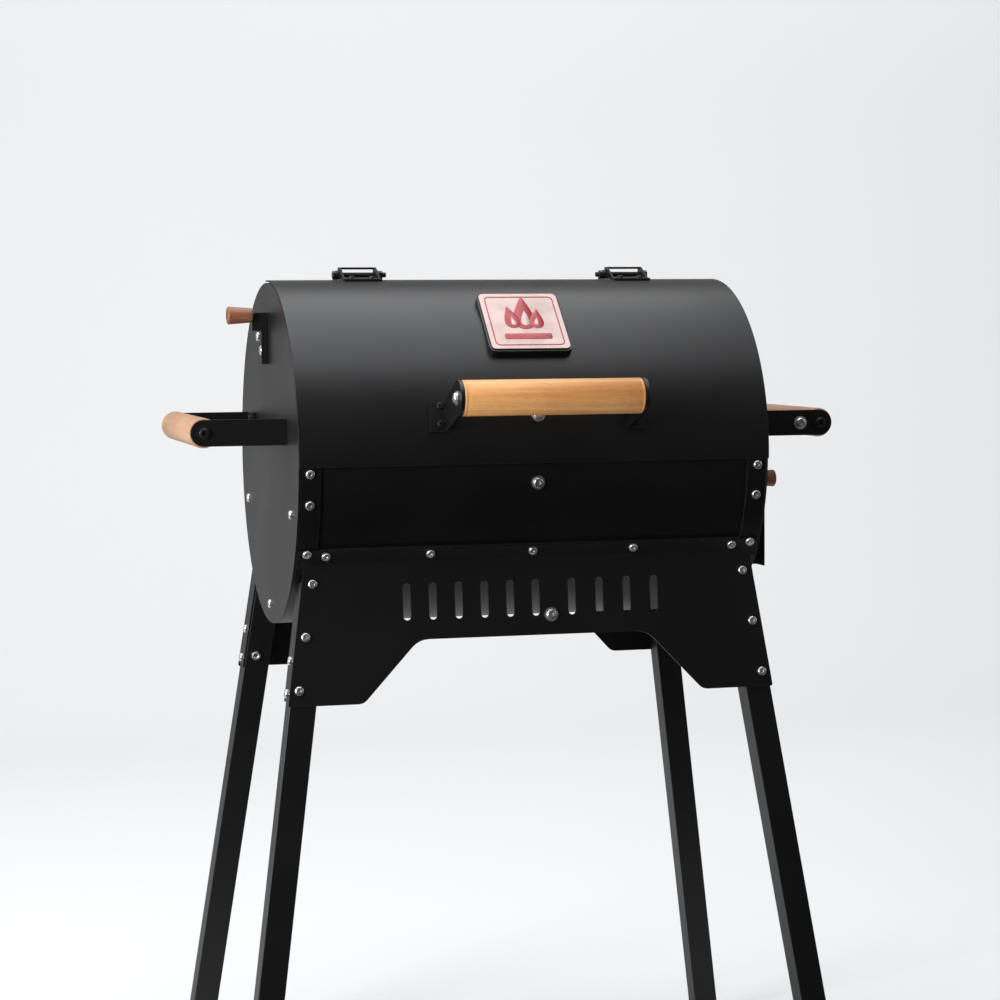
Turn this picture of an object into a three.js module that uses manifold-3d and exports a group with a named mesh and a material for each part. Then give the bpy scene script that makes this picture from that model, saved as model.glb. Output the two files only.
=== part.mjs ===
// A barrel charcoal smoker on four splayed legs: a sheet-steel drum with a hinged front lid,
// a recessed front panel, a charcoal drawer through the right end and an exhaust damper on the left.
// Units are millimetres. +X runs along the drum to its right end, +Y to the back, +Z up.
// All shapes are drawn about the drum axis; the finished model stands on z = 0 about its own middle.
import * as THREE from 'three';
import { mergeVertices } from 'three/addons/utils/BufferGeometryUtils.js';
import Module from 'manifold-3d';

const wasm = await Module();
wasm.setup();

// ---- driving dimensions ----
const GAP = 0.3; // clearance between pieces that touch
const FACET_DEG = 3; // one facet of a large curved sheet
const ROUND_SIDES = 20; // sides of bolts, pins and knobs

const DRUM_LENGTH = 550;
const DRUM_RADIUS = 200;
const DRUM_AXIS_HEIGHT = 780;
const SHELL_THICK = 2;
const END_DISC_THICK = 2;
const END_RIM_DEPTH = 21;

const LID_THICK = 1.8;
const LID_CLEARANCE = 1.2; // radial air between the lid and the fixed shell
const LID_FRONT_DEG = -2; // angles are counted up from the horizontal at the front
const LID_REAR_DEG = 91.4;
const SHELL_REAR_TOP_DEG = 89;
const BAND_WIDTH = 25; // the shell's strip at each side of the front panel
const BAND_TOP_DEG = 5;
const WINDOW_LOW_DEG = -30.4;
const SHELL_LOW_OVERLAP_DEG = 7; // the shell runs on under the stand plate's flange

const PANEL_SIDE_OVERLAP = 1.2;
const PANEL_TOP_DEG = 4;
const PANEL_LOW_DEG = -37;

const STAND_THICK = 2;
const STAND_FLANGE_DEG = 5.3;
const STAND_SPLAY_DEG = 6.65;
const STAND_EDGE_DEG = 8.2; // lean of the outer edges and of the legs, across the drum
const STAND_END_INSET = 10.6; // the stand plate's top corner, in from the drum's end
const STAND_FLANGE_INSET = 3; // the top flange's end, in from the drum's end
const STAND_DROP = 158;
const STAND_FOOT_WIDTH = 86.2;
const STAND_NOTCH_HALF_WIDTH = 135;
const STAND_NOTCH_DROP = 88;
const STAND_CORNER_RADIUS = 6;
const STAND_BEND_OVERLAP = 4; // how far the bend's metal runs down the face
const STAND_SIDE_FLANGE_DEPTH = 32;
const STAND_SIDE_FLANGE_TOP = 19;
const SLOT_WIDTH = 9;
const SLOT_HEIGHT = 42;
const SLOT_TOP_DROP = 24;
const SLOT_GROUPS = [
  { from: -147.5, to: 3.5, count: 6 },
  { from: 46.5, to: 145.5, count: 4 },
];
const STAND_BOLT_X = 21;
const STAND_BOLT_DROP = 65;

const LEG_SIZE = 30;
const LEG_WALL = 1.5;
const FOOT_CAP_THICK = 6;
const FOOT_PLUG_LENGTH = 22;

const HINGE_X = 165;
const HINGE_PIN_Y = 8;
const HINGE_PIN_RISE = 6; // pin centre above the lid's outer surface
const HINGE_PIN_RADIUS = 3;
const HINGE_EYE_RADIUS = 5.5;
const HINGE_FIXED_HALF_WIDTH = 25.5;
const HINGE_MOVING_HALF_WIDTH = 22.5;
const HINGE_SHEET = 2.5;
const HINGE_HOLE_REACH = 40; // the pin hole's cutter, each way from the hinge's middle
const HINGE_ROOT = 1; // how far a cheek runs into its foot
const HINGE_LID_ROOM = 5; // clear of the fixed cheeks on each side
const HINGE_LID_ROOM_DEG = 80; // where the room for the lid's rear edge starts
const PIN_HEAD_RADIUS = 5;
const PIN_HEAD_LENGTH = 4;
const PIN_NUT_LENGTH = 5;
const PIN_SHANK_BEYOND = 9; // from the cheek's face to the shank's end, past the nut
const HEX_SIDES = 6;
const HINGE_BRIDGE_RISE = 6.5; // from the pin centre to the bridge's underside
const HINGE_BRIDGE_WIDTH = 6;
const HINGE_LID_FOOT_LOW_DEG = 81.5;
const HINGE_LID_FOOT_HIGH_DEG = 89;
const HINGE_DRUM_FOOT_LOW_DEG = 97;
const HINGE_DRUM_FOOT_HIGH_DEG = 105;

const GRIP_DEG = 15.1;
const GRIP_STANDOFF = 62.1; // from the lid's surface to the grip's centre
const GRIP_RADIUS = 20;
const GRIP_LENGTH = 207;
const GRIP_LUG_THICK = 4;
const GRIP_FOOT_WIDTH = 23;
const GRIP_FOOT_LOW_DEG = 8.5;
const GRIP_FOOT_HIGH_DEG = 18;
const GRIP_FOOT_THICK = 3;

const ARM_REACH = 108.5; // from the end disc to the arm's tip
const ARM_HEIGHT = 30;
const ARM_THICK = 4;
const ARM_SPAN = 250; // outside faces of the two arms of one handle
const ARM_Z = 30;
const ARM_FOOT_LENGTH = 36;
const SIDE_GRIP_RADIUS = 17;

const BOLT_SHANK_RADIUS = 4;
const BOLT_HEAD_RADIUS = 8;
const BOLT_HEAD_HEIGHT = 4.5;
const GRIP_BOLT_DEPTH = 24;
const CENTRE_BOLT_LID_DEG = 13.5;
const CENTRE_BOLT_PANEL_DEG = -8.5;

const BADGE_SIZE = 98;
const BADGE_DEG = 47.5;
const BADGE_CORNER = 9;
const BADGE_BACK_THICK = 3;
const BADGE_FACE_THICK = 1.5;
const BADGE_FACE_INSET = 2.5;

const KNOB_LENGTH = 29;
const KNOB_INNER_RADIUS = 8.5;
const KNOB_OUTER_RADIUS = 10.5;
const KNOB_BRACKET_SHEET = 2;
const KNOB_BRACKET_REACH = 18;
const KNOB_BRACKET_RIB = 7.5;
const KNOB_BRACKET_WIDTH = 36;
const KNOB_BRACKET_DROP = 57;
const KNOB_FIN_HEIGHT = 18;
const KNOB_LUG_RADIUS = 6.5;
const KNOB_LOWER_BOLT_DROP = 41;
const KNOB_FIN_Y = -6;

const DAMPER_KNOB_INSET = 38; // from the drum's top to the knob's centre
const VENT_RADIUS = 10;
const VENT_DROP = 12; // vent centre below the knob axis

const DRAWER_FRONT_HALF_WIDTH = 100;
const DRAWER_FRONT_RISE = 58; // the front's lower edge, up from the drum's lowest point
const DRAWER_FRONT_HEIGHT = 87;
const DRAWER_FRONT_THICK = 2;
const DRAWER_STANDOFF = 31; // the front's distance from the end disc
const DRAWER_SHEET = 1.5;
const DRAWER_LENGTH = 455;
const DRAWER_HEIGHT = 66;
const DRAWER_CLEARANCE = 2.5; // tray to collar, all round
const COLLAR_INSET = 4; // the collar's outside, in from the front's edge
const DRAWER_KNOB_RISE = 12; // the knob's centre, above the front's top edge

const LEDGE_SHEET = 2;
const LEDGE_TOP_Z = -17;
const LEDGE_REACH = 24;
const LEDGE_DEPTH_DEG = 7.5;
const GRATE_BAR = 6;
const GRATE_ROD = 4;
const GRATE_SIDE_CLEARANCE = 12; // from the shell to the grate's front and back
const GRATE_ROD_COUNT = 15;
const GRATE_MIDDLE_GAP = 4;
const GRATE_END_CLEARANCE = 8;

const RAIL_SHEET = 1.8;
const RAIL_HEIGHT = 24;
const RAIL_SHELF = 16;

// ---- values that follow from them ----
const END_X = DRUM_LENGTH / 2;
const DISC_INNER_X = END_X - END_DISC_THICK;
const SHELL_INNER_RADIUS = DRUM_RADIUS - SHELL_THICK;
const RIM_RADIUS = SHELL_INNER_RADIUS - GAP;
const LID_INNER_RADIUS = DRUM_RADIUS + LID_CLEARANCE;
const LID_RADIUS = LID_INNER_RADIUS + LID_THICK;
const PANEL_HALF_LENGTH = END_X - BAND_WIDTH + PANEL_SIDE_OVERLAP;
const PIN_Z = LID_RADIUS + HINGE_PIN_RISE;
const COPE_RADIUS = DRUM_RADIUS + 2 * GAP;
const DAMPER_KNOB_Z = DRUM_RADIUS - DAMPER_KNOB_INSET;
const DRAWER_FRONT_LOW = DRAWER_FRONT_RISE - DRUM_RADIUS;
const DRAWER_FRONT_HIGH = DRAWER_FRONT_LOW + DRAWER_FRONT_HEIGHT;
const DRAWER_KNOB_Z = DRAWER_FRONT_HIGH + DRAWER_KNOB_RISE;
const GRATE_HALF_DEPTH = SHELL_INNER_RADIUS - GRATE_SIDE_CLEARANCE;

const rad = THREE.MathUtils.degToRad;

/** The (y, z) point at a radius and an angle counted up from the horizontal at the front. */
function polar(radius, deg) {
  return new THREE.Vector2(-radius * Math.cos(rad(deg)), radius * Math.sin(rad(deg)));
}

const { x: GRIP_Y, y: GRIP_Z } = polar(LID_RADIUS + GRIP_STANDOFF, GRIP_DEG);

// ---- solids ----

/** Turns a closed three.js geometry into a solid that can be joined and cut. */
function solid(geometry) {
  const bare = geometry.clone();
  bare.deleteAttribute('normal');
  bare.deleteAttribute('uv');
  const merged = mergeVertices(bare, 1e-4);
  const mesh = new wasm.Mesh({
    numProp: 3,
    vertProperties: new Float32Array(merged.attributes.position.array),
    triVerts: new Uint32Array(merged.index.array),
  });
  return new wasm.Manifold(mesh);
}

/** Turns a solid back into a three.js geometry. */
function geometryOf(body) {
  const mesh = body.getMesh();
  const geometry = new THREE.BufferGeometry();
  geometry.setAttribute('position', new THREE.BufferAttribute(new Float32Array(mesh.vertProperties), 3));
  geometry.setIndex(new THREE.BufferAttribute(new Uint32Array(mesh.triVerts), 1));
  geometry.computeVertexNormals();
  return geometry;
}

function join(...bodies) {
  return bodies.reduce((sum, body) => sum.add(body));
}

function cut(base, ...tools) {
  return tools.reduce((rest, tool) => rest.subtract(tool), base);
}

/** A box from its low and high limits. */
function box([x0, x1], [y0, y1], [z0, z1]) {
  const geometry = new THREE.BoxGeometry(x1 - x0, y1 - y0, z1 - z0);
  geometry.translate((x0 + x1) / 2, (y0 + y1) / 2, (z0 + z1) / 2);
  return solid(geometry);
}

/** A cylinder or cone along X. */
function rodX(x0, x1, y, z, radius, endRadius = radius, sides = ROUND_SIDES) {
  const geometry = new THREE.CylinderGeometry(endRadius, radius, x1 - x0, sides);
  geometry.rotateZ(-Math.PI / 2);
  geometry.translate((x0 + x1) / 2, y, z);
  return solid(geometry);
}

/** A cylinder whose axis starts at a point and runs along a direction. */
function rodAlong(start, direction, length, radius, sides = ROUND_SIDES) {
  const geometry = new THREE.CylinderGeometry(radius, radius, length, sides);
  geometry.translate(0, length / 2, 0);
  const turn = new THREE.Quaternion().setFromUnitVectors(new THREE.Vector3(0, 1, 0), direction);
  geometry.applyQuaternion(turn);
  geometry.translate(start.x, start.y, start.z);
  return solid(geometry);
}

/** Extrudes an outline drawn in (y, z) along X. */
function prismX(outline, x0, x1) {
  const shape = outline.isShape ? outline : new THREE.Shape(outline);
  const settings = { depth: x1 - x0, bevelEnabled: false, curveSegments: 12 };
  const geometry = new THREE.ExtrudeGeometry(shape, settings);
  const basis = new THREE.Matrix4().makeBasis(
    new THREE.Vector3(0, 1, 0),
    new THREE.Vector3(0, 0, 1),
    new THREE.Vector3(1, 0, 0),
  );
  geometry.applyMatrix4(basis);
  geometry.translate(x0, 0, 0);
  return solid(geometry);
}

/** A curved sheet about the drum axis, between two radii and two angles. */
function curvedSheet(innerRadius, outerRadius, fromDeg, toDeg, x0, x1) {
  const steps = Math.max(1, Math.ceil((toDeg - fromDeg) / FACET_DEG));
  const angles = Array.from({ length: steps + 1 }, (_, i) => fromDeg + ((toDeg - fromDeg) * i) / steps);
  const outer = angles.map((deg) => polar(outerRadius, deg));
  const inner = angles.map((deg) => polar(innerRadius, deg)).reverse();
  return prismX([...outer, ...inner], x0, x1);
}

/** A round bar about the drum axis, used to cope pieces that meet the drum. */
function drumBar(radius) {
  return rodX(-DRUM_LENGTH, DRUM_LENGTH, 0, 0, radius, radius, 360 / FACET_DEG);
}

/** The outline of a lug: a round eye joined to two points on the surface that it stands on. */
function lugOutline(eyeY, eyeZ, eyeRadius, low, high) {
  const points = [low, high];
  for (let deg = 0; deg < 360; deg += 15) {
    const turn = rad(deg);
    points.push(new THREE.Vector2(eyeY + eyeRadius * Math.cos(turn), eyeZ + eyeRadius * Math.sin(turn)));
  }
  return convexOutline(points);
}

/** The convex outline round a set of points, anticlockwise. */
function convexOutline(points) {
  const sorted = [...points].sort((a, b) => a.x - b.x || a.y - b.y);
  const turn = (o, a, b) => (a.x - o.x) * (b.y - o.y) - (a.y - o.y) * (b.x - o.x);
  const half = (list) => {
    const chain = [];
    for (const point of list) {
      while (chain.length > 1 && turn(chain[chain.length - 2], chain[chain.length - 1], point) <= 0) {
        chain.pop();
      }
      chain.push(point);
    }
    chain.pop();
    return chain;
  };
  return [...half(sorted), ...half(sorted.reverse())];
}

/** A rounded rectangle centred on the origin. */
function roundedRectangle(width, height, radius) {
  const x = width / 2 - radius;
  const y = height / 2 - radius;
  const shape = new THREE.Shape();
  shape.absarc(x, y, radius, 0, Math.PI / 2, false);
  shape.absarc(-x, y, radius, Math.PI / 2, Math.PI, false);
  shape.absarc(-x, -y, radius, Math.PI, 1.5 * Math.PI, false);
  shape.absarc(x, -y, radius, 1.5 * Math.PI, 2 * Math.PI, false);
  return shape;
}

/** A bolt along a direction: a flanged round head with its seat at the start, and a shank behind it. */
function bolt(seat, outward, shankLength) {
  const inward = outward.clone().negate();
  const headBase = seat.clone().addScaledVector(outward, GAP);
  const head = rodAlong(headBase, outward, BOLT_HEAD_HEIGHT, BOLT_HEAD_RADIUS);
  const shankStart = headBase.clone().addScaledVector(outward, BOLT_HEAD_HEIGHT / 2);
  const shank = rodAlong(shankStart, inward, shankLength + BOLT_HEAD_HEIGHT / 2, BOLT_SHANK_RADIUS);
  return join(head, shank);
}

/** The clearance hole for such a bolt, through everything within reach of its seat. */
function boltHole(seat, outward, depth) {
  const start = seat.clone().addScaledVector(outward, GAP);
  return rodAlong(start, outward.clone().negate(), depth, BOLT_SHANK_RADIUS + GAP);
}

/** The outward direction of the drum's surface at an angle. */
function drumNormal(deg) {
  const direction = polar(1, deg);
  return new THREE.Vector3(0, direction.x, direction.y);
}

// ---- finishes ----
const FINISHES = {
  blackCoat: { color: 0x17171a, roughness: 0.5, metalness: 0.2 },
  bareSteel: { color: 0xb9babc, roughness: 0.35, metalness: 1 },
  zinc: { color: 0xc4c6c8, roughness: 0.3, metalness: 1 },
  ironGrate: { color: 0x3a3836, roughness: 0.6, metalness: 0.8 },
  beech: { color: 0xd99a5c, roughness: 0.55, metalness: 0 },
  paleBeech: { color: 0xd9ad80, roughness: 0.55, metalness: 0 },
  reddishWood: { color: 0xb8714c, roughness: 0.6, metalness: 0 },
  badgeSteel: { color: 0xb6aea6, roughness: 0.35, metalness: 0.9 },
  blackPlastic: { color: 0x101010, roughness: 0.7, metalness: 0 },
};

const model = new THREE.Group();
model.name = 'barrel_smoker';

/** Adds one named piece to a group. */
function addPiece(group, name, body, finish) {
  const mesh = new THREE.Mesh(geometryOf(body), new THREE.MeshStandardMaterial(FINISHES[finish]));
  mesh.name = name;
  group.add(mesh);
}

// ---- drum ----

/** The fixed shell: the back half, the bottom, and a band up each side of the front panel. */
function drumShell() {
  const lowDeg = WINDOW_LOW_DEG - SHELL_LOW_OVERLAP_DEG;
  const shellX = DISC_INNER_X - GAP;
  const rearSheet = curvedSheet(
    SHELL_INNER_RADIUS,
    DRUM_RADIUS,
    SHELL_REAR_TOP_DEG,
    360 + BAND_TOP_DEG,
    -shellX,
    shellX,
  );
  const window = curvedSheet(
    SHELL_INNER_RADIUS - 10,
    DRUM_RADIUS + 10,
    360 + WINDOW_LOW_DEG,
    360 + BAND_TOP_DEG + 10,
    -(END_X - BAND_WIDTH),
    END_X - BAND_WIDTH,
  );
  const panelNotch = curvedSheet(
    SHELL_INNER_RADIUS - 10,
    SHELL_INNER_RADIUS,
    360 + lowDeg,
    360 + BAND_TOP_DEG,
    -PANEL_HALF_LENGTH,
    PANEL_HALF_LENGTH,
  );
  const ledgeSeat = rearLedgeSeat();
  return cut(rearSheet, window, panelNotch, boltHole(ledgeSeat.point, ledgeSeat.outward, 20));
}

/** An end disc with a rim turned in under the shell; side is -1 on the left and 1 on the right. */
function endDisc(side) {
  const profile = [
    [0, END_X],
    [DRUM_RADIUS, END_X],
    [DRUM_RADIUS, DISC_INNER_X],
    [RIM_RADIUS, DISC_INNER_X],
    [RIM_RADIUS, DISC_INNER_X - END_RIM_DEPTH],
    [RIM_RADIUS - END_DISC_THICK, DISC_INNER_X - END_RIM_DEPTH],
    [RIM_RADIUS - END_DISC_THICK, DISC_INNER_X],
    [0, DISC_INNER_X],
  ].map(([r, x]) => new THREE.Vector2(r, x));
  const geometry = new THREE.LatheGeometry(profile.reverse(), 360 / FACET_DEG);
  geometry.rotateZ(-Math.PI / 2);
  const disc = solid(geometry);
  return side > 0 ? disc : disc.mirror([1, 0, 0]);
}

/** The recessed front panel, tucked behind the window. */
function frontPanel() {
  const sheet = curvedSheet(
    RIM_RADIUS - SHELL_THICK,
    RIM_RADIUS,
    PANEL_LOW_DEG,
    PANEL_TOP_DEG,
    -(DISC_INNER_X - END_RIM_DEPTH - GAP),
    DISC_INNER_X - END_RIM_DEPTH - GAP,
  );
  const seat = polar(RIM_RADIUS, CENTRE_BOLT_PANEL_DEG);
  return cut(sheet, boltHole(new THREE.Vector3(0, seat.x, seat.y), drumNormal(CENTRE_BOLT_PANEL_DEG), 20));
}

// ---- lid ----

function lidShell() {
  const sheet = curvedSheet(LID_INNER_RADIUS, LID_RADIUS, LID_FRONT_DEG, LID_REAR_DEG, -END_X, END_X);
  const seat = polar(LID_RADIUS, CENTRE_BOLT_LID_DEG);
  return cut(sheet, boltHole(new THREE.Vector3(0, seat.x, seat.y), drumNormal(CENTRE_BOLT_LID_DEG), 20));
}

/** One bracket of the lid's handle: an upright lug at the grip's end and a foot turned outwards. */
function gripBracket(side) {
  const lugInner = GRIP_LENGTH / 2 + GAP;
  const surface = LID_RADIUS + GAP;
  const low = polar(surface - 3, GRIP_FOOT_LOW_DEG);
  const high = polar(surface - 3, GRIP_FOOT_HIGH_DEG);
  const outline = lugOutline(GRIP_Y, GRIP_Z, GRIP_RADIUS, low, high);
  const lug = prismX(outline, lugInner, lugInner + GRIP_LUG_THICK);
  const foot = curvedSheet(
    surface,
    surface + GRIP_FOOT_THICK,
    GRIP_FOOT_LOW_DEG,
    GRIP_FOOT_HIGH_DEG,
    lugInner,
    lugInner + GRIP_FOOT_WIDTH,
  );
  const hole = rodX(lugInner - 5, lugInner + 30, GRIP_Y, GRIP_Z, BOLT_SHANK_RADIUS + GAP);
  const bracket = cut(join(cut(lug, drumBar(surface)), foot), hole);
  return side > 0 ? bracket : bracket.mirror([1, 0, 0]);
}

function lidGrip() {
  const half = GRIP_LENGTH / 2;
  const grip = rodX(-half, half, GRIP_Y, GRIP_Z, GRIP_RADIUS, GRIP_RADIUS, 32);
  const boreDepth = GRIP_BOLT_DEPTH + 2;
  const bores = [-1, 1].map((side) => {
    const ends = [side * half, side * (half - boreDepth)].sort((a, b) => a - b);
    const reach = side > 0 ? [ends[0], ends[1] + 1] : [ends[0] - 1, ends[1]];
    return rodX(reach[0], reach[1], GRIP_Y, GRIP_Z, BOLT_SHANK_RADIUS + GAP);
  });
  return cut(grip, ...bores);
}

function gripBolt(side) {
  const outward = new THREE.Vector3(side, 0, 0);
  const seat = new THREE.Vector3(side * (GRIP_LENGTH / 2 + GAP + GRIP_LUG_THICK), GRIP_Y, GRIP_Z);
  return bolt(seat, outward, GRIP_LUG_THICK + GRIP_BOLT_DEPTH);
}

/** Places a plate drawn flat, centred on the origin and standing up along +Z, on the lid's face. */
function onLid(body, deg, distance) {
  return body.rotate([90 - deg, 0, 0]).translate([0, polar(distance, deg).x, polar(distance, deg).y]);
}

function flatPlate(shape, thickness) {
  const options = { depth: thickness, bevelEnabled: false, curveSegments: 6 };
  return solid(new THREE.ExtrudeGeometry(shape, options));
}

/** The badge's dark base: flat in front and coped behind to the curve of the lid. */
function badgeBack() {
  const depth = 12;
  const block = flatPlate(roundedRectangle(BADGE_SIZE, BADGE_SIZE, BADGE_CORNER), depth);
  const seated = onLid(block, BADGE_DEG, LID_RADIUS + GAP + BADGE_BACK_THICK - depth);
  return cut(seated, drumBar(LID_RADIUS + GAP));
}

function badgeFace() {
  const size = BADGE_SIZE - 2 * BADGE_FACE_INSET;
  const plate = flatPlate(roundedRectangle(size, size, BADGE_CORNER - BADGE_FACE_INSET), BADGE_FACE_THICK);
  return onLid(plate, BADGE_DEG, LID_RADIUS + 2 * GAP + BADGE_BACK_THICK);
}

// ---- hinges ----

/** The leaf that is fixed to the shell's rear edge: two cheeks outside the lid's leaf. */
function hingeFixedLeaf(centreX) {
  const surface = DRUM_RADIUS + GAP;
  const footFrom = HINGE_DRUM_FOOT_LOW_DEG;
  const footTo = HINGE_DRUM_FOOT_HIGH_DEG;
  const foot = curvedSheet(
    surface,
    surface + HINGE_SHEET,
    footFrom,
    footTo,
    centreX - HINGE_FIXED_HALF_WIDTH,
    centreX + HINGE_FIXED_HALF_WIDTH,
  );
  const low = polar(surface - HINGE_ROOT, footFrom - HINGE_ROOT);
  const high = polar(surface - HINGE_ROOT, footTo);
  const outline = lugOutline(HINGE_PIN_Y, PIN_Z, HINGE_EYE_RADIUS, low, high);
  const cheeks = [-1, 1].map((side) => {
    const outer = centreX + side * HINGE_FIXED_HALF_WIDTH;
    const inner = outer - side * HINGE_SHEET;
    return prismX(outline, Math.min(inner, outer), Math.max(inner, outer));
  });
  const hole = rodX(centreX - HINGE_HOLE_REACH, centreX + HINGE_HOLE_REACH, HINGE_PIN_Y, PIN_Z, HINGE_PIN_RADIUS + GAP);
  const lidSweep = drumBar(surface);
  const leaf = cut(join(cut(join(...cheeks), lidSweep), foot), hole);
  return cut(leaf, hingeLidClearance(centreX));
}

/** Room for the lid's rear edge in front of and under the fixed cheeks. */
function hingeLidClearance(centreX) {
  const half = HINGE_FIXED_HALF_WIDTH + HINGE_LID_ROOM;
  const inner = DRUM_RADIUS - HINGE_LID_ROOM;
  const x = [centreX - half, centreX + half];
  return curvedSheet(inner, LID_RADIUS + 1, HINGE_LID_ROOM_DEG, LID_REAR_DEG + 1, x[0], x[1]);
}

/** The leaf that is fixed to the lid: two cheeks joined by a bridge over the pin. */
function hingeMovingLeaf(centreX) {
  const surface = LID_RADIUS + GAP;
  const footFrom = HINGE_LID_FOOT_LOW_DEG;
  const footTo = HINGE_LID_FOOT_HIGH_DEG;
  const foot = curvedSheet(
    surface,
    surface + HINGE_SHEET,
    footFrom,
    footTo,
    centreX - HINGE_MOVING_HALF_WIDTH,
    centreX + HINGE_MOVING_HALF_WIDTH,
  );
  const bridgeTop = PIN_Z + HINGE_BRIDGE_RISE + HINGE_SHEET;
  const halfBridge = HINGE_BRIDGE_WIDTH / 2;
  const outline = convexOutline([
    polar(surface - HINGE_ROOT, footFrom),
    polar(surface - HINGE_ROOT, footTo),
    new THREE.Vector2(HINGE_PIN_Y - halfBridge, bridgeTop),
    new THREE.Vector2(HINGE_PIN_Y + halfBridge, bridgeTop),
    ...lugOutline(
      HINGE_PIN_Y,
      PIN_Z,
      HINGE_EYE_RADIUS,
      new THREE.Vector2(HINGE_PIN_Y, PIN_Z),
      new THREE.Vector2(HINGE_PIN_Y, PIN_Z),
    ),
  ]);
  const cheeks = [-1, 1].map((side) => {
    const outer = centreX + side * HINGE_MOVING_HALF_WIDTH;
    const inner = outer - side * HINGE_SHEET;
    return prismX(outline, Math.min(inner, outer), Math.max(inner, outer));
  });
  const bridge = box(
    [centreX - HINGE_MOVING_HALF_WIDTH, centreX + HINGE_MOVING_HALF_WIDTH],
    [HINGE_PIN_Y - halfBridge, HINGE_PIN_Y + halfBridge],
    [bridgeTop - HINGE_SHEET, bridgeTop],
  );
  const hole = rodX(centreX - HINGE_HOLE_REACH, centreX + HINGE_HOLE_REACH, HINGE_PIN_Y, PIN_Z, HINGE_PIN_RADIUS + GAP);
  return cut(join(cut(join(...cheeks), drumBar(surface)), foot, bridge), hole);
}

/** The hinge pin: a headed bolt through both leaves with its nut towards the middle of the drum. */
function hingePin(centreX) {
  const inboard = -Math.sign(centreX);
  const face = HINGE_FIXED_HALF_WIDTH + GAP;
  const along = (from, to) => [centreX + inboard * from, centreX + inboard * to].sort((a, b) => a - b);
  const shankEnds = along(-face - PIN_HEAD_LENGTH, face + PIN_SHANK_BEYOND);
  const headEnds = along(-face - PIN_HEAD_LENGTH, -face);
  const nutEnds = along(face, face + PIN_NUT_LENGTH);
  const hexagon = [HINGE_PIN_Y, PIN_Z, PIN_HEAD_RADIUS, PIN_HEAD_RADIUS, HEX_SIDES];
  const shank = rodX(shankEnds[0], shankEnds[1], HINGE_PIN_Y, PIN_Z, HINGE_PIN_RADIUS);
  const head = rodX(headEnds[0], headEnds[1], ...hexagon);
  const nut = rodX(nutEnds[0], nutEnds[1], ...hexagon);
  return join(shank, head, nut);
}

// ---- stand ----

const flangeMidDeg = WINDOW_LOW_DEG - STAND_FLANGE_DEG / 2;
const flangeHalf = DRUM_RADIUS * Math.tan(rad(STAND_FLANGE_DEG / 2));
const flangeNormal = polar(1, flangeMidDeg);
const flangeUp = new THREE.Vector2(Math.sin(rad(flangeMidDeg)), Math.cos(rad(flangeMidDeg)));
const flangeOuterRadius = DRUM_RADIUS + GAP + STAND_THICK;

/** A (y, z) point on the top flange, from its distance along the flange and below its outer face. */
function flangePoint(along, below) {
  return polar(flangeOuterRadius, flangeMidDeg)
    .addScaledVector(flangeUp, along)
    .addScaledVector(flangeNormal, -below);
}

const bend = flangePoint(-flangeHalf, 0);
const splay = rad(STAND_SPLAY_DEG);
const plateUp = new THREE.Vector2(Math.sin(splay), Math.cos(splay));
const plateOut = new THREE.Vector2(-Math.cos(splay), Math.sin(splay));

/** A (y, z) point on the stand plate's plane, from its drop below the bend and its depth behind. */
function platePoint(drop, behind) {
  return bend.clone().addScaledVector(plateUp, -drop).addScaledVector(plateOut, -behind);
}

/** The frame of the front stand plate: x across, y up the plate, z out of its face. */
const standFrame = new THREE.Matrix4()
  .makeBasis(
    new THREE.Vector3(1, 0, 0),
    new THREE.Vector3(0, plateUp.x, plateUp.y),
    new THREE.Vector3(0, plateOut.x, plateOut.y),
  )
  .setPosition(0, bend.x, bend.y);

const edgeLean = Math.tan(rad(STAND_EDGE_DEG));

/** Half the stand plate's width at a drop below the bend. */
function standHalfWidth(drop) {
  return END_X - STAND_END_INSET + drop * edgeLean;
}

/** Rounds the corners of a closed outline. */
function roundedOutline(corners, radii) {
  const shape = new THREE.Shape();
  corners.forEach((corner, i) => {
    const before = corners[(i + corners.length - 1) % corners.length];
    const after = corners[(i + 1) % corners.length];
    const radius = radii[i];
    const start = corner.clone().add(before.clone().sub(corner).setLength(radius));
    const end = corner.clone().add(after.clone().sub(corner).setLength(radius));
    if (i === 0) {
      shape.moveTo(start.x, start.y);
    } else {
      shape.lineTo(start.x, start.y);
    }
    if (radius > 0) {
      shape.quadraticCurveTo(corner.x, corner.y, end.x, end.y);
    }
  });
  return shape;
}

/** The face of the stand plate, drawn in its own plane. */
function standFaceShape() {
  const footHalf = standHalfWidth(STAND_DROP);
  const right = [
    [standHalfWidth(0), 0, 0],
    [footHalf, -STAND_DROP, STAND_CORNER_RADIUS / 2],
    [footHalf - STAND_FOOT_WIDTH, -STAND_DROP, STAND_CORNER_RADIUS],
    [STAND_NOTCH_HALF_WIDTH, -STAND_NOTCH_DROP, 2 * STAND_CORNER_RADIUS],
  ];
  const left = [...right].reverse().map(([x, y, r]) => [-x, y, r]);
  const outline = [...right, ...left];
  return roundedOutline(
    outline.map(([x, y]) => new THREE.Vector2(x, y)),
    outline.map(([, , r]) => r),
  );
}

/** Upright slots with round ends that are cut through the front stand plate. */
function standSlots() {
  const holes = [];
  for (const group of SLOT_GROUPS) {
    for (let i = 0; i < group.count; i += 1) {
      const x = group.from + ((group.to - group.from) * i) / (group.count - 1);
      const slot = new THREE.Path();
      const top = -SLOT_TOP_DROP - SLOT_WIDTH / 2;
      const low = -SLOT_TOP_DROP - SLOT_HEIGHT + SLOT_WIDTH / 2;
      slot.absarc(x, top, SLOT_WIDTH / 2, 0, Math.PI, false);
      slot.absarc(x, low, SLOT_WIDTH / 2, Math.PI, 2 * Math.PI, false);
      slot.closePath();
      holes.push(slot);
    }
  }
  return holes;
}

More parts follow.
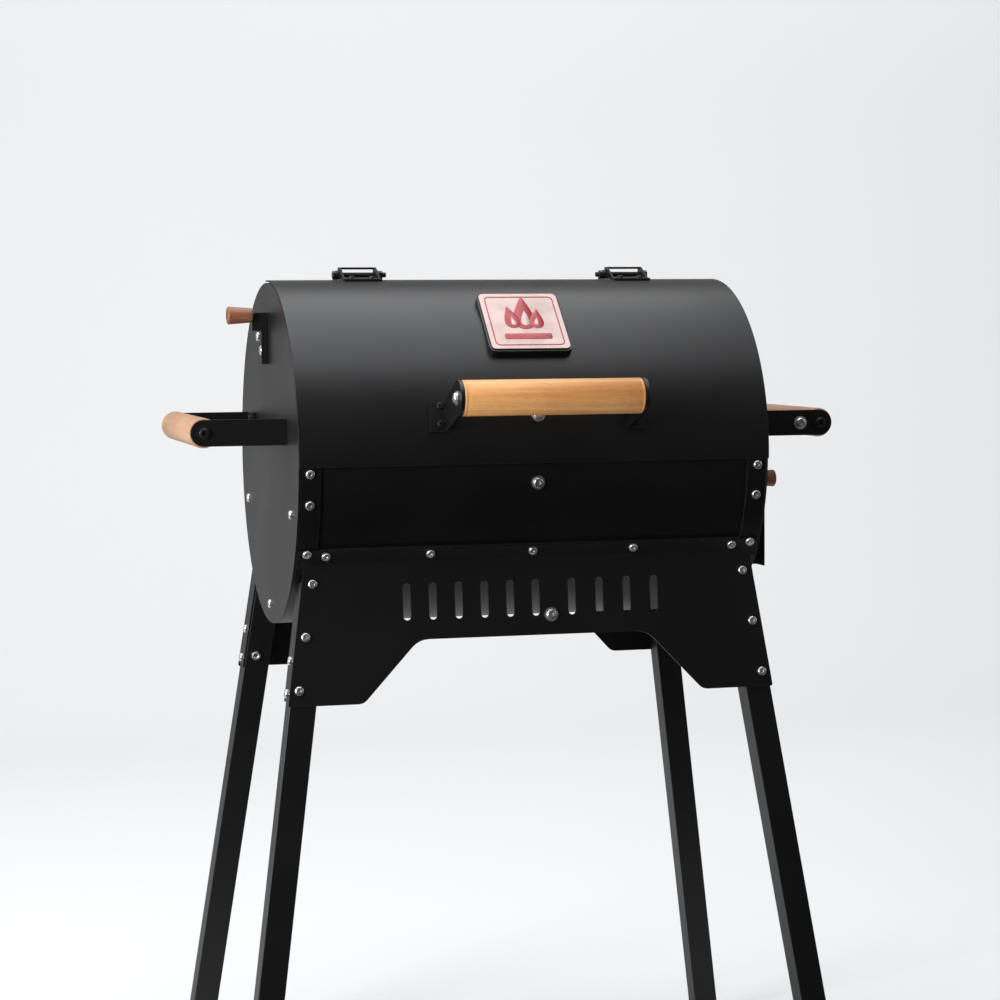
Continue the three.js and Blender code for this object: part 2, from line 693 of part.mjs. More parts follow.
/** A stand plate at the front: face, top flange on the drum, and a flange back along each leg. */
function standPlate(withSlots) {
  const shape = standFaceShape();
  if (withSlots) {
    shape.holes.push(...standSlots());
  }
  const settings = { depth: STAND_THICK, bevelEnabled: false, curveSegments: 4 };
  const face = new THREE.ExtrudeGeometry(shape, settings);
  face.translate(0, 0, -STAND_THICK);
  face.applyMatrix4(standFrame);

  const topHalf = END_X - STAND_FLANGE_INSET;
  const topFlange = prismX(
    [
      platePoint(STAND_BEND_OVERLAP, 0),
      platePoint(STAND_BEND_OVERLAP, STAND_THICK),
      platePoint(0, STAND_THICK),
      flangePoint(-flangeHalf, STAND_THICK),
      flangePoint(flangeHalf, STAND_THICK),
      flangePoint(flangeHalf, 0),
      bend,
    ],
    -topHalf,
    topHalf,
  );

  const sideFlanges = [-1, 1].map((side) => {
    const run = STAND_DROP - STAND_SIDE_FLANGE_TOP - STAND_CORNER_RADIUS;
    const length = run / Math.cos(rad(STAND_EDGE_DEG));
    const geometry = new THREE.BoxGeometry(STAND_THICK, length, STAND_SIDE_FLANGE_DEPTH);
    geometry.translate((-side * STAND_THICK) / 2, -length / 2, -STAND_SIDE_FLANGE_DEPTH / 2);
    geometry.rotateZ(side * rad(STAND_EDGE_DEG));
    geometry.translate(side * standHalfWidth(STAND_SIDE_FLANGE_TOP), -STAND_SIDE_FLANGE_TOP, 0);
    geometry.applyMatrix4(standFrame);
    return solid(geometry);
  });

  const plate = join(solid(face), topFlange, ...sideFlanges);
  const seat = standBoltSeat();
  const tools = [drumBar(DRUM_RADIUS + GAP)];
  if (withSlots) {
    tools.push(boltHole(seat.point, seat.outward, 10));
  }
  return cut(plate, ...tools);
}

function standBoltSeat() {
  const point = platePoint(STAND_BOLT_DROP, 0);
  return {
    point: new THREE.Vector3(STAND_BOLT_X, point.x, point.y),
    outward: new THREE.Vector3(0, plateOut.x, plateOut.y),
  };
}

/** Puts a piece made in a leg's own frame (y up the leg, top at the bend) at its place in the stand. */
function inLegPlace(geometry, side) {
  const inset = STAND_THICK + GAP;
  geometry.translate(-side * (inset + LEG_SIZE / 2), 0, -(inset + LEG_SIZE / 2));
  geometry.rotateZ(side * rad(STAND_EDGE_DEG));
  geometry.translate(side * standHalfWidth(0), 0, 0);
  geometry.applyMatrix4(standFrame);
  return solid(geometry);
}

/** The part of a body above or below a height; the heights are counted from the drum axis. */
function keepBetween(body, low, high) {
  const reach = 2 * DRUM_AXIS_HEIGHT;
  return body.intersect(box([-reach, reach], [-reach, reach], [low, high]));
}

/** A front leg: a square tube, coped to the drum at its top and cut level above its foot cap. */
function leg(side) {
  const length = DRUM_AXIS_HEIGHT * 1.2;
  const bore = LEG_SIZE - 2 * LEG_WALL;
  const bar = new THREE.BoxGeometry(LEG_SIZE, length, LEG_SIZE).translate(0, -length / 2, 0);
  const outer = inLegPlace(bar, side);
  const core = new THREE.BoxGeometry(bore, length + 40, bore).translate(0, -length / 2, 0);
  const inner = inLegPlace(core, side);
  const tube = cut(outer, inner, drumBar(COPE_RADIUS));
  return keepBetween(tube, FOOT_CAP_THICK + GAP - DRUM_AXIS_HEIGHT, platePoint(6, 0).y);
}

/** A foot cap: a level pad under the leg with a plug up inside it. */
function footCap(side) {
  const length = DRUM_AXIS_HEIGHT * 1.2;
  const bore = LEG_SIZE - 2 * LEG_WALL - 2 * GAP;
  const block = new THREE.BoxGeometry(LEG_SIZE, length, LEG_SIZE).translate(0, -length / 2, 0);
  const pad = inLegPlace(block, side);
  const plug = inLegPlace(new THREE.BoxGeometry(bore, length, bore).translate(0, -length / 2, 0), side);
  return join(
    keepBetween(pad, -DRUM_AXIS_HEIGHT, FOOT_CAP_THICK - DRUM_AXIS_HEIGHT),
    keepBetween(plug, -DRUM_AXIS_HEIGHT, FOOT_CAP_THICK + FOOT_PLUG_LENGTH - DRUM_AXIS_HEIGHT),
  );
}

// ---- side handles ----

/** One arm of a side handle: a flat bar with a round tip, its foot turned in against the end disc. */
function handleArm(side, frontOrRear) {
  const root = END_X + GAP;
  const tip = END_X + ARM_REACH - ARM_HEIGHT / 2;
  const outerY = ARM_SPAN / 2;
  const height = [ARM_Z - ARM_HEIGHT / 2, ARM_Z + ARM_HEIGHT / 2];
  const bar = box([root, tip], [outerY - ARM_THICK, outerY], height);
  const roundTip = rodAlong(
    new THREE.Vector3(tip, outerY - ARM_THICK, ARM_Z),
    new THREE.Vector3(0, 1, 0),
    ARM_THICK,
    ARM_HEIGHT / 2,
    32,
  );
  const foot = box(
    [root, root + ARM_THICK],
    [outerY - ARM_FOOT_LENGTH, outerY],
    [ARM_Z - ARM_HEIGHT / 2, ARM_Z + ARM_HEIGHT / 2],
  );
  const hole = rodAlong(
    new THREE.Vector3(tip, outerY - 20, ARM_Z),
    new THREE.Vector3(0, 1, 0),
    40,
    BOLT_SHANK_RADIUS + GAP,
  );
  const arm = cut(join(bar, roundTip, foot), hole);
  const onSide = side > 0 ? arm : arm.mirror([1, 0, 0]);
  return frontOrRear > 0 ? onSide : onSide.mirror([0, 1, 0]);
}

const sideGripX = END_X + ARM_REACH - ARM_HEIGHT / 2;
const sideGripHalf = ARM_SPAN / 2 - ARM_THICK - GAP;

function sideGrip(side) {
  const centre = side * sideGripX;
  const along = new THREE.Vector3(0, 1, 0);
  const start = new THREE.Vector3(centre, -sideGripHalf, ARM_Z);
  const grip = rodAlong(start, along, 2 * sideGripHalf, SIDE_GRIP_RADIUS, 32);
  const boreDepth = GRIP_BOLT_DEPTH + 2;
  const bores = [-1, 1].map((end) => {
    const mouth = new THREE.Vector3(centre, end * (sideGripHalf + 1), ARM_Z);
    return rodAlong(mouth, new THREE.Vector3(0, -end, 0), boreDepth + 1, BOLT_SHANK_RADIUS + GAP);
  });
  return cut(grip, ...bores);
}

function sideGripBolt(side, frontOrRear) {
  const outward = new THREE.Vector3(0, frontOrRear, 0);
  const seat = new THREE.Vector3(side * sideGripX, (frontOrRear * ARM_SPAN) / 2, ARM_Z);
  return bolt(seat, outward, ARM_THICK + GRIP_BOLT_DEPTH);
}

// ---- knobs and their brackets ----

/** A bent bracket on the right end: a flat back, a rib along its edge, a fin and a lug for the knob. */
function knobBracket(baseX, knobZ) {
  const rib = [baseX, baseX + KNOB_BRACKET_RIB];
  const ribY = [KNOB_FIN_Y, KNOB_FIN_Y + KNOB_BRACKET_SHEET];
  const back = box(
    [baseX, baseX + KNOB_BRACKET_SHEET],
    [KNOB_FIN_Y, KNOB_FIN_Y + KNOB_BRACKET_WIDTH],
    [knobZ - KNOB_BRACKET_DROP, knobZ + 2],
  );
  const ribPlate = box(rib, ribY, [knobZ - KNOB_BRACKET_DROP, knobZ]);
  const finZ = [knobZ - KNOB_FIN_HEIGHT, knobZ + KNOB_LUG_RADIUS / 2];
  const fin = box([baseX, baseX + KNOB_BRACKET_REACH], ribY, finZ);
  const lug = rodX(
    baseX + KNOB_BRACKET_REACH - KNOB_BRACKET_SHEET,
    baseX + KNOB_BRACKET_REACH,
    KNOB_FIN_Y + KNOB_BRACKET_SHEET / 2,
    knobZ,
    KNOB_LUG_RADIUS,
  );
  return join(back, ribPlate, fin, lug);
}

/** A turned wooden knob, wider at its free end. */
function knob(baseX, knobZ) {
  const start = baseX + KNOB_BRACKET_REACH + GAP;
  const y = KNOB_FIN_Y + KNOB_BRACKET_SHEET / 2;
  return rodX(start, start + KNOB_LENGTH, y, knobZ, KNOB_INNER_RADIUS, KNOB_OUTER_RADIUS, 24);
}

const damperBaseX = END_X + GAP;
const damperPivot = { y: KNOB_FIN_Y + KNOB_BRACKET_WIDTH / 2, z: DAMPER_KNOB_Z - KNOB_LOWER_BOLT_DROP };

/** The exhaust damper: the bent bracket is also the plate that covers the vent. */
function damperPlate() {
  const holeRadius = BOLT_SHANK_RADIUS + GAP;
  const pivotHole = rodX(damperBaseX - 5, damperBaseX + 20, damperPivot.y, damperPivot.z, holeRadius);
  return cut(knobBracket(damperBaseX, DAMPER_KNOB_Z), pivotHole).mirror([1, 0, 0]);
}

function damperPivotBolt() {
  const seat = new THREE.Vector3(-(damperBaseX + KNOB_BRACKET_SHEET), damperPivot.y, damperPivot.z);
  return bolt(seat, new THREE.Vector3(-1, 0, 0), KNOB_BRACKET_SHEET + END_DISC_THICK + 8);
}

// ---- drawer ----

const drawerFrontX = END_X + DRAWER_STANDOFF;
const collarOuter = {
  halfWidth: DRAWER_FRONT_HALF_WIDTH - COLLAR_INSET,
  low: DRAWER_FRONT_LOW + COLLAR_INSET / 2,
  high: DRAWER_FRONT_HIGH - COLLAR_INSET / 2,
};
const collarInner = {
  halfWidth: collarOuter.halfWidth - DRAWER_SHEET,
  low: collarOuter.low + DRAWER_SHEET,
  high: collarOuter.high - DRAWER_SHEET,
};
const trayOuter = {
  halfWidth: collarInner.halfWidth - DRAWER_CLEARANCE,
  low: collarInner.low + DRAWER_CLEARANCE,
  high: collarInner.low + DRAWER_CLEARANCE + DRAWER_HEIGHT,
};

/** A box through the right end, as wide and high as a rectangle. */
function endBox(x0, x1, { halfWidth, low, high }) {
  return box([x0, x1], [-halfWidth, halfWidth], [low, high]);
}

/** The short box round the drawer's mouth. */
function drawerCollar() {
  const outside = endBox(END_X + GAP, drawerFrontX - GAP, collarOuter);
  return cut(outside, endBox(END_X - 10, drawerFrontX + 10, collarInner));
}

function drawerTray() {
  const { halfWidth, low, high } = trayOuter;
  const x1 = drawerFrontX - GAP;
  const x0 = x1 - DRAWER_LENGTH;
  const outside = box([x0, x1], [-halfWidth, halfWidth], [low, high]);
  const inside = box(
    [x0 + DRAWER_SHEET, x1 - DRAWER_SHEET],
    [-halfWidth + DRAWER_SHEET, halfWidth - DRAWER_SHEET],
    [low + DRAWER_SHEET, high + 10],
  );
  return cut(outside, inside);
}

function drawerFront() {
  return box(
    [drawerFrontX, drawerFrontX + DRAWER_FRONT_THICK],
    [-DRAWER_FRONT_HALF_WIDTH, DRAWER_FRONT_HALF_WIDTH],
    [DRAWER_FRONT_LOW, DRAWER_FRONT_HIGH],
  );
}

/** An angle under one side of the tray; side is -1 at the front and 1 at the back. */
function drawerRail(side) {
  const wallY = side * (trayOuter.halfWidth + GAP + 0.5);
  const outerY = wallY + side * RAIL_SHEET;
  const shelfY = wallY - side * RAIL_SHELF;
  const top = trayOuter.low - GAP;
  const length = [-(DISC_INNER_X - GAP), DISC_INNER_X - GAP];
  const ordered = (a, b) => [Math.min(a, b), Math.max(a, b)];
  return join(
    box(length, ordered(wallY, outerY), [top - RAIL_SHEET, top - RAIL_SHEET + RAIL_HEIGHT]),
    box(length, ordered(shelfY, outerY), [top - RAIL_SHEET, top]),
  );
}

// ---- grates ----

const frontLedgeRadius = RIM_RADIUS - SHELL_THICK - GAP;
const rearLedgeRadius = RIM_RADIUS;

/** An angle that carries the grates, with its web curved to the front panel or to the rear shell. */
function grateLedge(side) {
  const radius = side < 0 ? frontLedgeRadius : rearLedgeRadius;
  const length = DISC_INNER_X - END_RIM_DEPTH - 2 * GAP;
  const topDeg = -THREE.MathUtils.radToDeg(Math.asin(-LEDGE_TOP_Z / radius));
  const web = curvedSheet(radius - LEDGE_SHEET, radius, topDeg - LEDGE_DEPTH_DEG, topDeg, -length, length);
  const outerY = -radius * Math.cos(rad(topDeg)) + 0.4;
  const shelfZ = [LEDGE_TOP_Z - LEDGE_SHEET, LEDGE_TOP_Z];
  const shelf = box([-length, length], [outerY, outerY + LEDGE_REACH], shelfZ);
  const angle = join(web, shelf);
  const seat = polar(radius, CENTRE_BOLT_PANEL_DEG);
  const hole = boltHole(new THREE.Vector3(0, seat.x, seat.y), drumNormal(CENTRE_BOLT_PANEL_DEG), 20);
  const ledge = cut(angle, hole);
  return side < 0 ? ledge : ledge.mirror([0, 1, 0]);
}

/** Where the rear ledge's bolt meets the outside of the shell. */
function rearLedgeSeat() {
  const deg = 180 - CENTRE_BOLT_PANEL_DEG;
  const point = polar(DRUM_RADIUS, deg);
  return { point: new THREE.Vector3(0, point.x, point.y), outward: drumNormal(deg) };
}

/** Half of the cooking grate: a bar frame with rods from front to back. */
function cookingGrate(side) {
  const inner = GRATE_MIDDLE_GAP / 2;
  const outer = DISC_INNER_X - GRATE_END_CLEARANCE;
  const low = LEDGE_TOP_Z + GAP;
  const z = [low, low + GRATE_BAR];
  const y = [-GRATE_HALF_DEPTH, GRATE_HALF_DEPTH];
  const frame = cut(
    box([inner, outer], y, z),
    box([inner + GRATE_BAR, outer - GRATE_BAR], [y[0] + GRATE_BAR, y[1] - GRATE_BAR], [low - 1, low + 10]),
  );
  const pitch = (outer - inner - GRATE_BAR) / (GRATE_ROD_COUNT + 1);
  const rods = Array.from({ length: GRATE_ROD_COUNT }, (_, i) => {
    const x = inner + GRATE_BAR / 2 + pitch * (i + 1);
    return box([x - GRATE_ROD / 2, x + GRATE_ROD / 2], [y[0] + 2, y[1] - 2], [low + 1, low + 1 + GRATE_ROD]);
  });
  const middleZ = [low + 0.5, low + GRATE_BAR - 0.5];
  const middle = box([inner + 2, outer - 2], [-GRATE_BAR / 2, GRATE_BAR / 2], middleZ);
  const grate = join(frame, middle, ...rods);
  return side > 0 ? grate : grate.mirror([1, 0, 0]);
}

// ---- assembly ----

const SIDES = [
  ['left', -1],
  ['right', 1],
];
const ENDS = [
  ['front', -1],
  ['rear', 1],
];

function buildDrum() {
  const drum = new THREE.Group();
  addPiece(drum, 'drum_shell', drumShell(), 'blackCoat');
  addPiece(drum, 'front_panel', frontPanel(), 'blackCoat');
  const ventY = damperPivot.y;
  const vent = rodX(-END_X - 10, -END_X + 10, ventY, DAMPER_KNOB_Z - VENT_DROP, VENT_RADIUS);
  const pivotHole = rodX(-END_X - 10, -END_X + 20, damperPivot.y, damperPivot.z, BOLT_SHANK_RADIUS + GAP);
  addPiece(drum, 'left_end_disc', cut(endDisc(-1), vent, pivotHole), 'blackCoat');
  const drawerOpening = endBox(END_X - 10, END_X + 10, collarInner);
  addPiece(drum, 'right_end_disc', cut(endDisc(1), drawerOpening), 'blackCoat');
  const panelSeat = polar(RIM_RADIUS, CENTRE_BOLT_PANEL_DEG);
  const panelPoint = new THREE.Vector3(0, panelSeat.x, panelSeat.y);
  const panelBolt = bolt(panelPoint, drumNormal(CENTRE_BOLT_PANEL_DEG), 12);
  addPiece(drum, 'front_ledge_bolt', panelBolt, 'zinc');
  const rearSeat = rearLedgeSeat();
  addPiece(drum, 'rear_ledge_bolt', bolt(rearSeat.point, rearSeat.outward, 12), 'zinc');
  addPiece(drum, 'front_grate_ledge', grateLedge(-1), 'blackCoat');
  addPiece(drum, 'rear_grate_ledge', grateLedge(1), 'blackCoat');
  for (const [name, side] of SIDES) {
    addPiece(drum, `${name}_cooking_grate`, cookingGrate(side), 'ironGrate');
  }
  for (const [name, side] of ENDS) {
    addPiece(drum, `${name}_drawer_rail`, drawerRail(side), 'bareSteel');
  }
  addPiece(drum, 'drawer_collar', drawerCollar(), 'blackCoat');
  return drum;
}

function buildLid() {
  const lid = new THREE.Group();
  addPiece(lid, 'lid_shell', lidShell(), 'blackCoat');
  for (const [name, side] of SIDES) {
    addPiece(lid, `lid_handle_bracket_${name}`, gripBracket(side), 'blackCoat');
    addPiece(lid, `lid_handle_bolt_${name}`, gripBolt(side), 'zinc');
    addPiece(lid, `lid_hinge_leaf_${name}`, hingeMovingLeaf(side * HINGE_X), 'blackCoat');
  }
  addPiece(lid, 'lid_handle_grip', lidGrip(), 'beech');
  const seat = polar(LID_RADIUS, CENTRE_BOLT_LID_DEG);
  const seatPoint = new THREE.Vector3(0, seat.x, seat.y);
  const centreBolt = bolt(seatPoint, drumNormal(CENTRE_BOLT_LID_DEG), LID_THICK + 10);
  addPiece(lid, 'lid_centre_bolt', centreBolt, 'zinc');
  addPiece(lid, 'badge_back', badgeBack(), 'blackCoat');
  addPiece(lid, 'badge_face', badgeFace(), 'badgeSteel');
  return lid;
}

function buildHinges() {
  const hinges = new THREE.Group();
  for (const [name, side] of SIDES) {
    addPiece(hinges, `drum_hinge_leaf_${name}`, hingeFixedLeaf(side * HINGE_X), 'blackCoat');
    addPiece(hinges, `hinge_pin_${name}`, hingePin(side * HINGE_X), 'blackCoat');
  }
  return hinges;
}

function buildStand() {
  const stand = new THREE.Group();
  addPiece(stand, 'front_stand_plate', standPlate(true), 'blackCoat');
  addPiece(stand, 'rear_stand_plate', standPlate(false).mirror([0, 1, 0]), 'blackCoat');
  const seat = standBoltSeat();
  addPiece(stand, 'front_stand_bolt', bolt(seat.point, seat.outward, STAND_THICK + 8), 'zinc');
  for (const [name, side] of SIDES) {
    addPiece(stand, `front_${name}_leg`, leg(side), 'blackCoat');
    addPiece(stand, `rear_${name}_leg`, leg(side).mirror([0, 1, 0]), 'blackCoat');
    addPiece(stand, `front_${name}_foot_cap`, footCap(side), 'blackPlastic');
    addPiece(stand, `rear_${name}_foot_cap`, footCap(side).mirror([0, 1, 0]), 'blackPlastic');
  }
  return stand;
}

function buildSideHandles() {
  const handles = new THREE.Group();
  for (const [name, side] of SIDES) {
    for (const [end, sign] of ENDS) {
      addPiece(handles, `${name}_handle_${end}_arm`, handleArm(side, sign), 'blackCoat');
      addPiece(handles, `${name}_handle_${end}_bolt`, sideGripBolt(side, sign), 'blackCoat');
    }
    addPiece(handles, `${name}_handle_grip`, sideGrip(side), 'paleBeech');
  }
  return handles;
}

function buildDamper() {
  const damper = new THREE.Group();
  addPiece(damper, 'damper_plate', damperPlate(), 'blackCoat');
  addPiece(damper, 'damper_knob', knob(damperBaseX, DAMPER_KNOB_Z).mirror([1, 0, 0]), 'reddishWood');
  addPiece(damper, 'damper_pivot_bolt', damperPivotBolt(), 'zinc');
  return damper;
}

function buildDrawer() {
  const drawer = new THREE.Group();
  const bracketX = drawerFrontX + DRAWER_FRONT_THICK + GAP;
  addPiece(drawer, 'drawer_tray', drawerTray(), 'bareSteel');
  addPiece(drawer, 'drawer_front', drawerFront(), 'blackCoat');
  addPiece(drawer, 'drawer_knob_bracket', knobBracket(bracketX, DRAWER_KNOB_Z), 'blackCoat');
  addPiece(drawer, 'drawer_knob', knob(bracketX, DRAWER_KNOB_Z), 'reddishWood');
  return drawer;
}

model.add(buildDrum(), buildLid(), buildHinges(), buildStand());
model.add(buildSideHandles(), buildDamper(), buildDrawer());

// Stand the model on z = 0 with the middle of its footprint box on the origin.
const limits = new THREE.Box3().setFromObject(model);
const centre = limits.getCenter(new THREE.Vector3());
model.position.set(-centre.x, -centre.y, -limits.min.z);
model.updateMatrixWorld(true);

export default model;
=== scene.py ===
"""Looks for a barrel charcoal smoker: bevelled sheet metal, turned wood, screws, badge and studio."""

import logging
import math
from contextlib import contextmanager
from dataclasses import dataclass, field
from enum import Enum
from typing import Callable, Iterable, Iterator, Sequence

import bpy
from mathutils import Matrix, Vector


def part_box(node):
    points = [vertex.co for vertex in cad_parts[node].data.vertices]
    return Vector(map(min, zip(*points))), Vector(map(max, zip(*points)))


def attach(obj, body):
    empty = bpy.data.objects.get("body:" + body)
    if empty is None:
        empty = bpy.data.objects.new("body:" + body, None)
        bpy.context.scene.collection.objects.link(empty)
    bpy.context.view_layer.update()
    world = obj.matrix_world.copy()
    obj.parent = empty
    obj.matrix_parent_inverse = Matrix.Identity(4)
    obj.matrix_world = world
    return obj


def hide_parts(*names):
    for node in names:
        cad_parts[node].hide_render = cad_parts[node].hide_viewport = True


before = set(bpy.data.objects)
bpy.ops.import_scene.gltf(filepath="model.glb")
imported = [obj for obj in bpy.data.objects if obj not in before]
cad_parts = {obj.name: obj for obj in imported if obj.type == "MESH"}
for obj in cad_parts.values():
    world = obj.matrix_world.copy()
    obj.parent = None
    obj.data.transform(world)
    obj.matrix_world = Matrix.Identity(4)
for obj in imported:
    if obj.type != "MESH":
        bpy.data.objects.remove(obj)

LOG = logging.getLogger("barrel_smoker")
MM = 0.001
TOUCH = 0.01 * MM
CLOSE = 10 * MM
HEX = 6
CORNER_DEG = 50.0
ROUND_DEG = 40.0

Piece = bpy.types.Object
Material = bpy.types.Material
Node = bpy.types.Node
Plug = bpy.types.NodeSocket
Tree = bpy.types.NodeTree
Colour = tuple[float, float, float, float]
Seat = tuple[Vector, Vector]


class Body(Enum):
    """The rigid bodies of the smoker."""

    FRAME = "frame"
    LID = "lid"
    DAMPER = "damper"
    DRAWER = "drawer"


class Place(Enum):
    """A place on the smoker that one word names."""

    @property
    def word(self) -> str:
        """The name in lower case."""
        return self.name.lower()


class Side(Place):
    """The two ends of the drum, with the sign of X that each lies at."""

    LEFT = -1
    RIGHT = 1


class Depth(Place):
    """Front and rear, with the sign of Y that each lies at."""

    FRONT = -1
    REAR = 1


class Grain(Enum):
    """The row's axis that a turned piece lies along."""

    X = 0
    Y = 1


class Pick(Enum):
    """What edit mode selects, with the mesh's own list of it."""

    VERT = "vertices"
    EDGE = "edges"
    FACE = "polygons"


def tinted(colour: Colour, factor: float) -> Colour:
    """A colour made lighter or darker, at most white."""
    return tuple(min(1.0, channel * factor) for channel in colour[:3]) + (1,)


# ---------------------------------------------------------------- geometry of the frame


@dataclass(frozen=True)
class Drum:
    """The drum's axis and radii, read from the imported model."""

    axis_y: float
    axis_z: float
    radius: float
    lid_radius: float
    end_x: float

    @classmethod
    def from_frame(cls) -> "Drum":
        """Measures the end discs and the lid.

        Returns:
            The drum's sizes in metres.
        """
        low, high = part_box("right_end_disc")
        lid_low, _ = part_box("lid_shell")
        axis_y = (low.y + high.y) / 2
        return cls(axis_y, (low.z + high.z) / 2, (high.z - low.z) / 2, axis_y - lid_low.y, high.x)

    def normal(self, degrees: float) -> Vector:
        """The outward direction at an angle counted up from the horizontal at the front."""
        turn = math.radians(degrees)
        return Vector((0.0, -math.cos(turn), math.sin(turn)))

    def point(self, x: float, degrees: float, radius: float) -> Vector:
        """A point at a place along the drum, an angle and a distance from the axis."""
        return Vector((x, self.axis_y, self.axis_z)) + self.normal(degrees) * radius

    def end_point(self, side: Side, y: float, z: float, proud: float = 0.0) -> Vector:
        """A point on an end disc's outer face, by its place about the axis and how far out it is."""
        return Vector((side.value * (self.end_x + proud), self.axis_y + y, self.axis_z + z))


@dataclass(frozen=True)
class StandPlane:
    """The front stand plate's plane and its top flange; the rear plate mirrors it."""

    drum: Drum
    sheet: float = 2 * MM
    gap: float = 0.3 * MM
    flange_mid_deg: float = -33.05
    flange_half: float = 9.26 * MM
    splay_deg: float = 6.65
    edge_deg: float = 8.2
    top_half_width: float = 264.4 * MM

    def mirrored(self, point: Vector, depth: Depth) -> Vector:
        """A point of the front plate, or its mirror image on the rear plate.

        Args:
            point: The point on the front plate.
            depth: The plate that it is wanted on.

        Returns:
            The point in the row frame.
        """
        if depth is Depth.FRONT:
            return point
        return Vector((point.x, 2 * self.drum.axis_y - point.y, point.z))

    def turned(self, direction: Vector, depth: Depth) -> Vector:
        """A direction at the front plate, or its mirror image at the rear."""
        return Vector((direction.x, direction.y * -depth.value, direction.z))

    def flange_point(self, x: float, along: float) -> Vector:
        """A point on the flange's outer face.

        Args:
            x: The place along the drum.
            along: The distance up the flange from its middle.

        Returns:
            The point in the row frame.
        """
        turn = math.radians(self.flange_mid_deg)
        up = Vector((0, math.sin(turn), math.cos(turn)))
        outer_radius = self.drum.radius + self.gap + self.sheet
        return self.drum.point(x, self.flange_mid_deg, outer_radius) + up * along

    @property
    def outward(self) -> Vector:
        """The way out of the plate's face."""
        turn = math.radians(self.splay_deg)
        return Vector((0, -math.cos(turn), math.sin(turn)))

    @property
    def up(self) -> Vector:
        """The way up the plate's face."""
        turn = math.radians(self.splay_deg)
        return Vector((0, math.sin(turn), math.cos(turn)))

    def face_point(self, x: float, drop: float, behind: float = 0.0) -> Vector:
        """A point at a drop down the plate from its bend, and at a depth behind its outer face."""
        bend = self.flange_point(x, -self.flange_half)
        return bend - self.up * drop - self.outward * behind

    def half_width(self, drop: float) -> float:
        """Half the plate's width at a drop below the bend."""
        return self.top_half_width + drop * math.tan(math.radians(self.edge_deg))

    def edge_normal(self, side: Side) -> Vector:
        """The way out of the flange that runs back along a leg."""
        lean = math.radians(self.edge_deg)
        return Vector((side.value * math.cos(lean), 0, 0)) + self.up * math.sin(lean)


# ---------------------------------------------------------------- bench tools


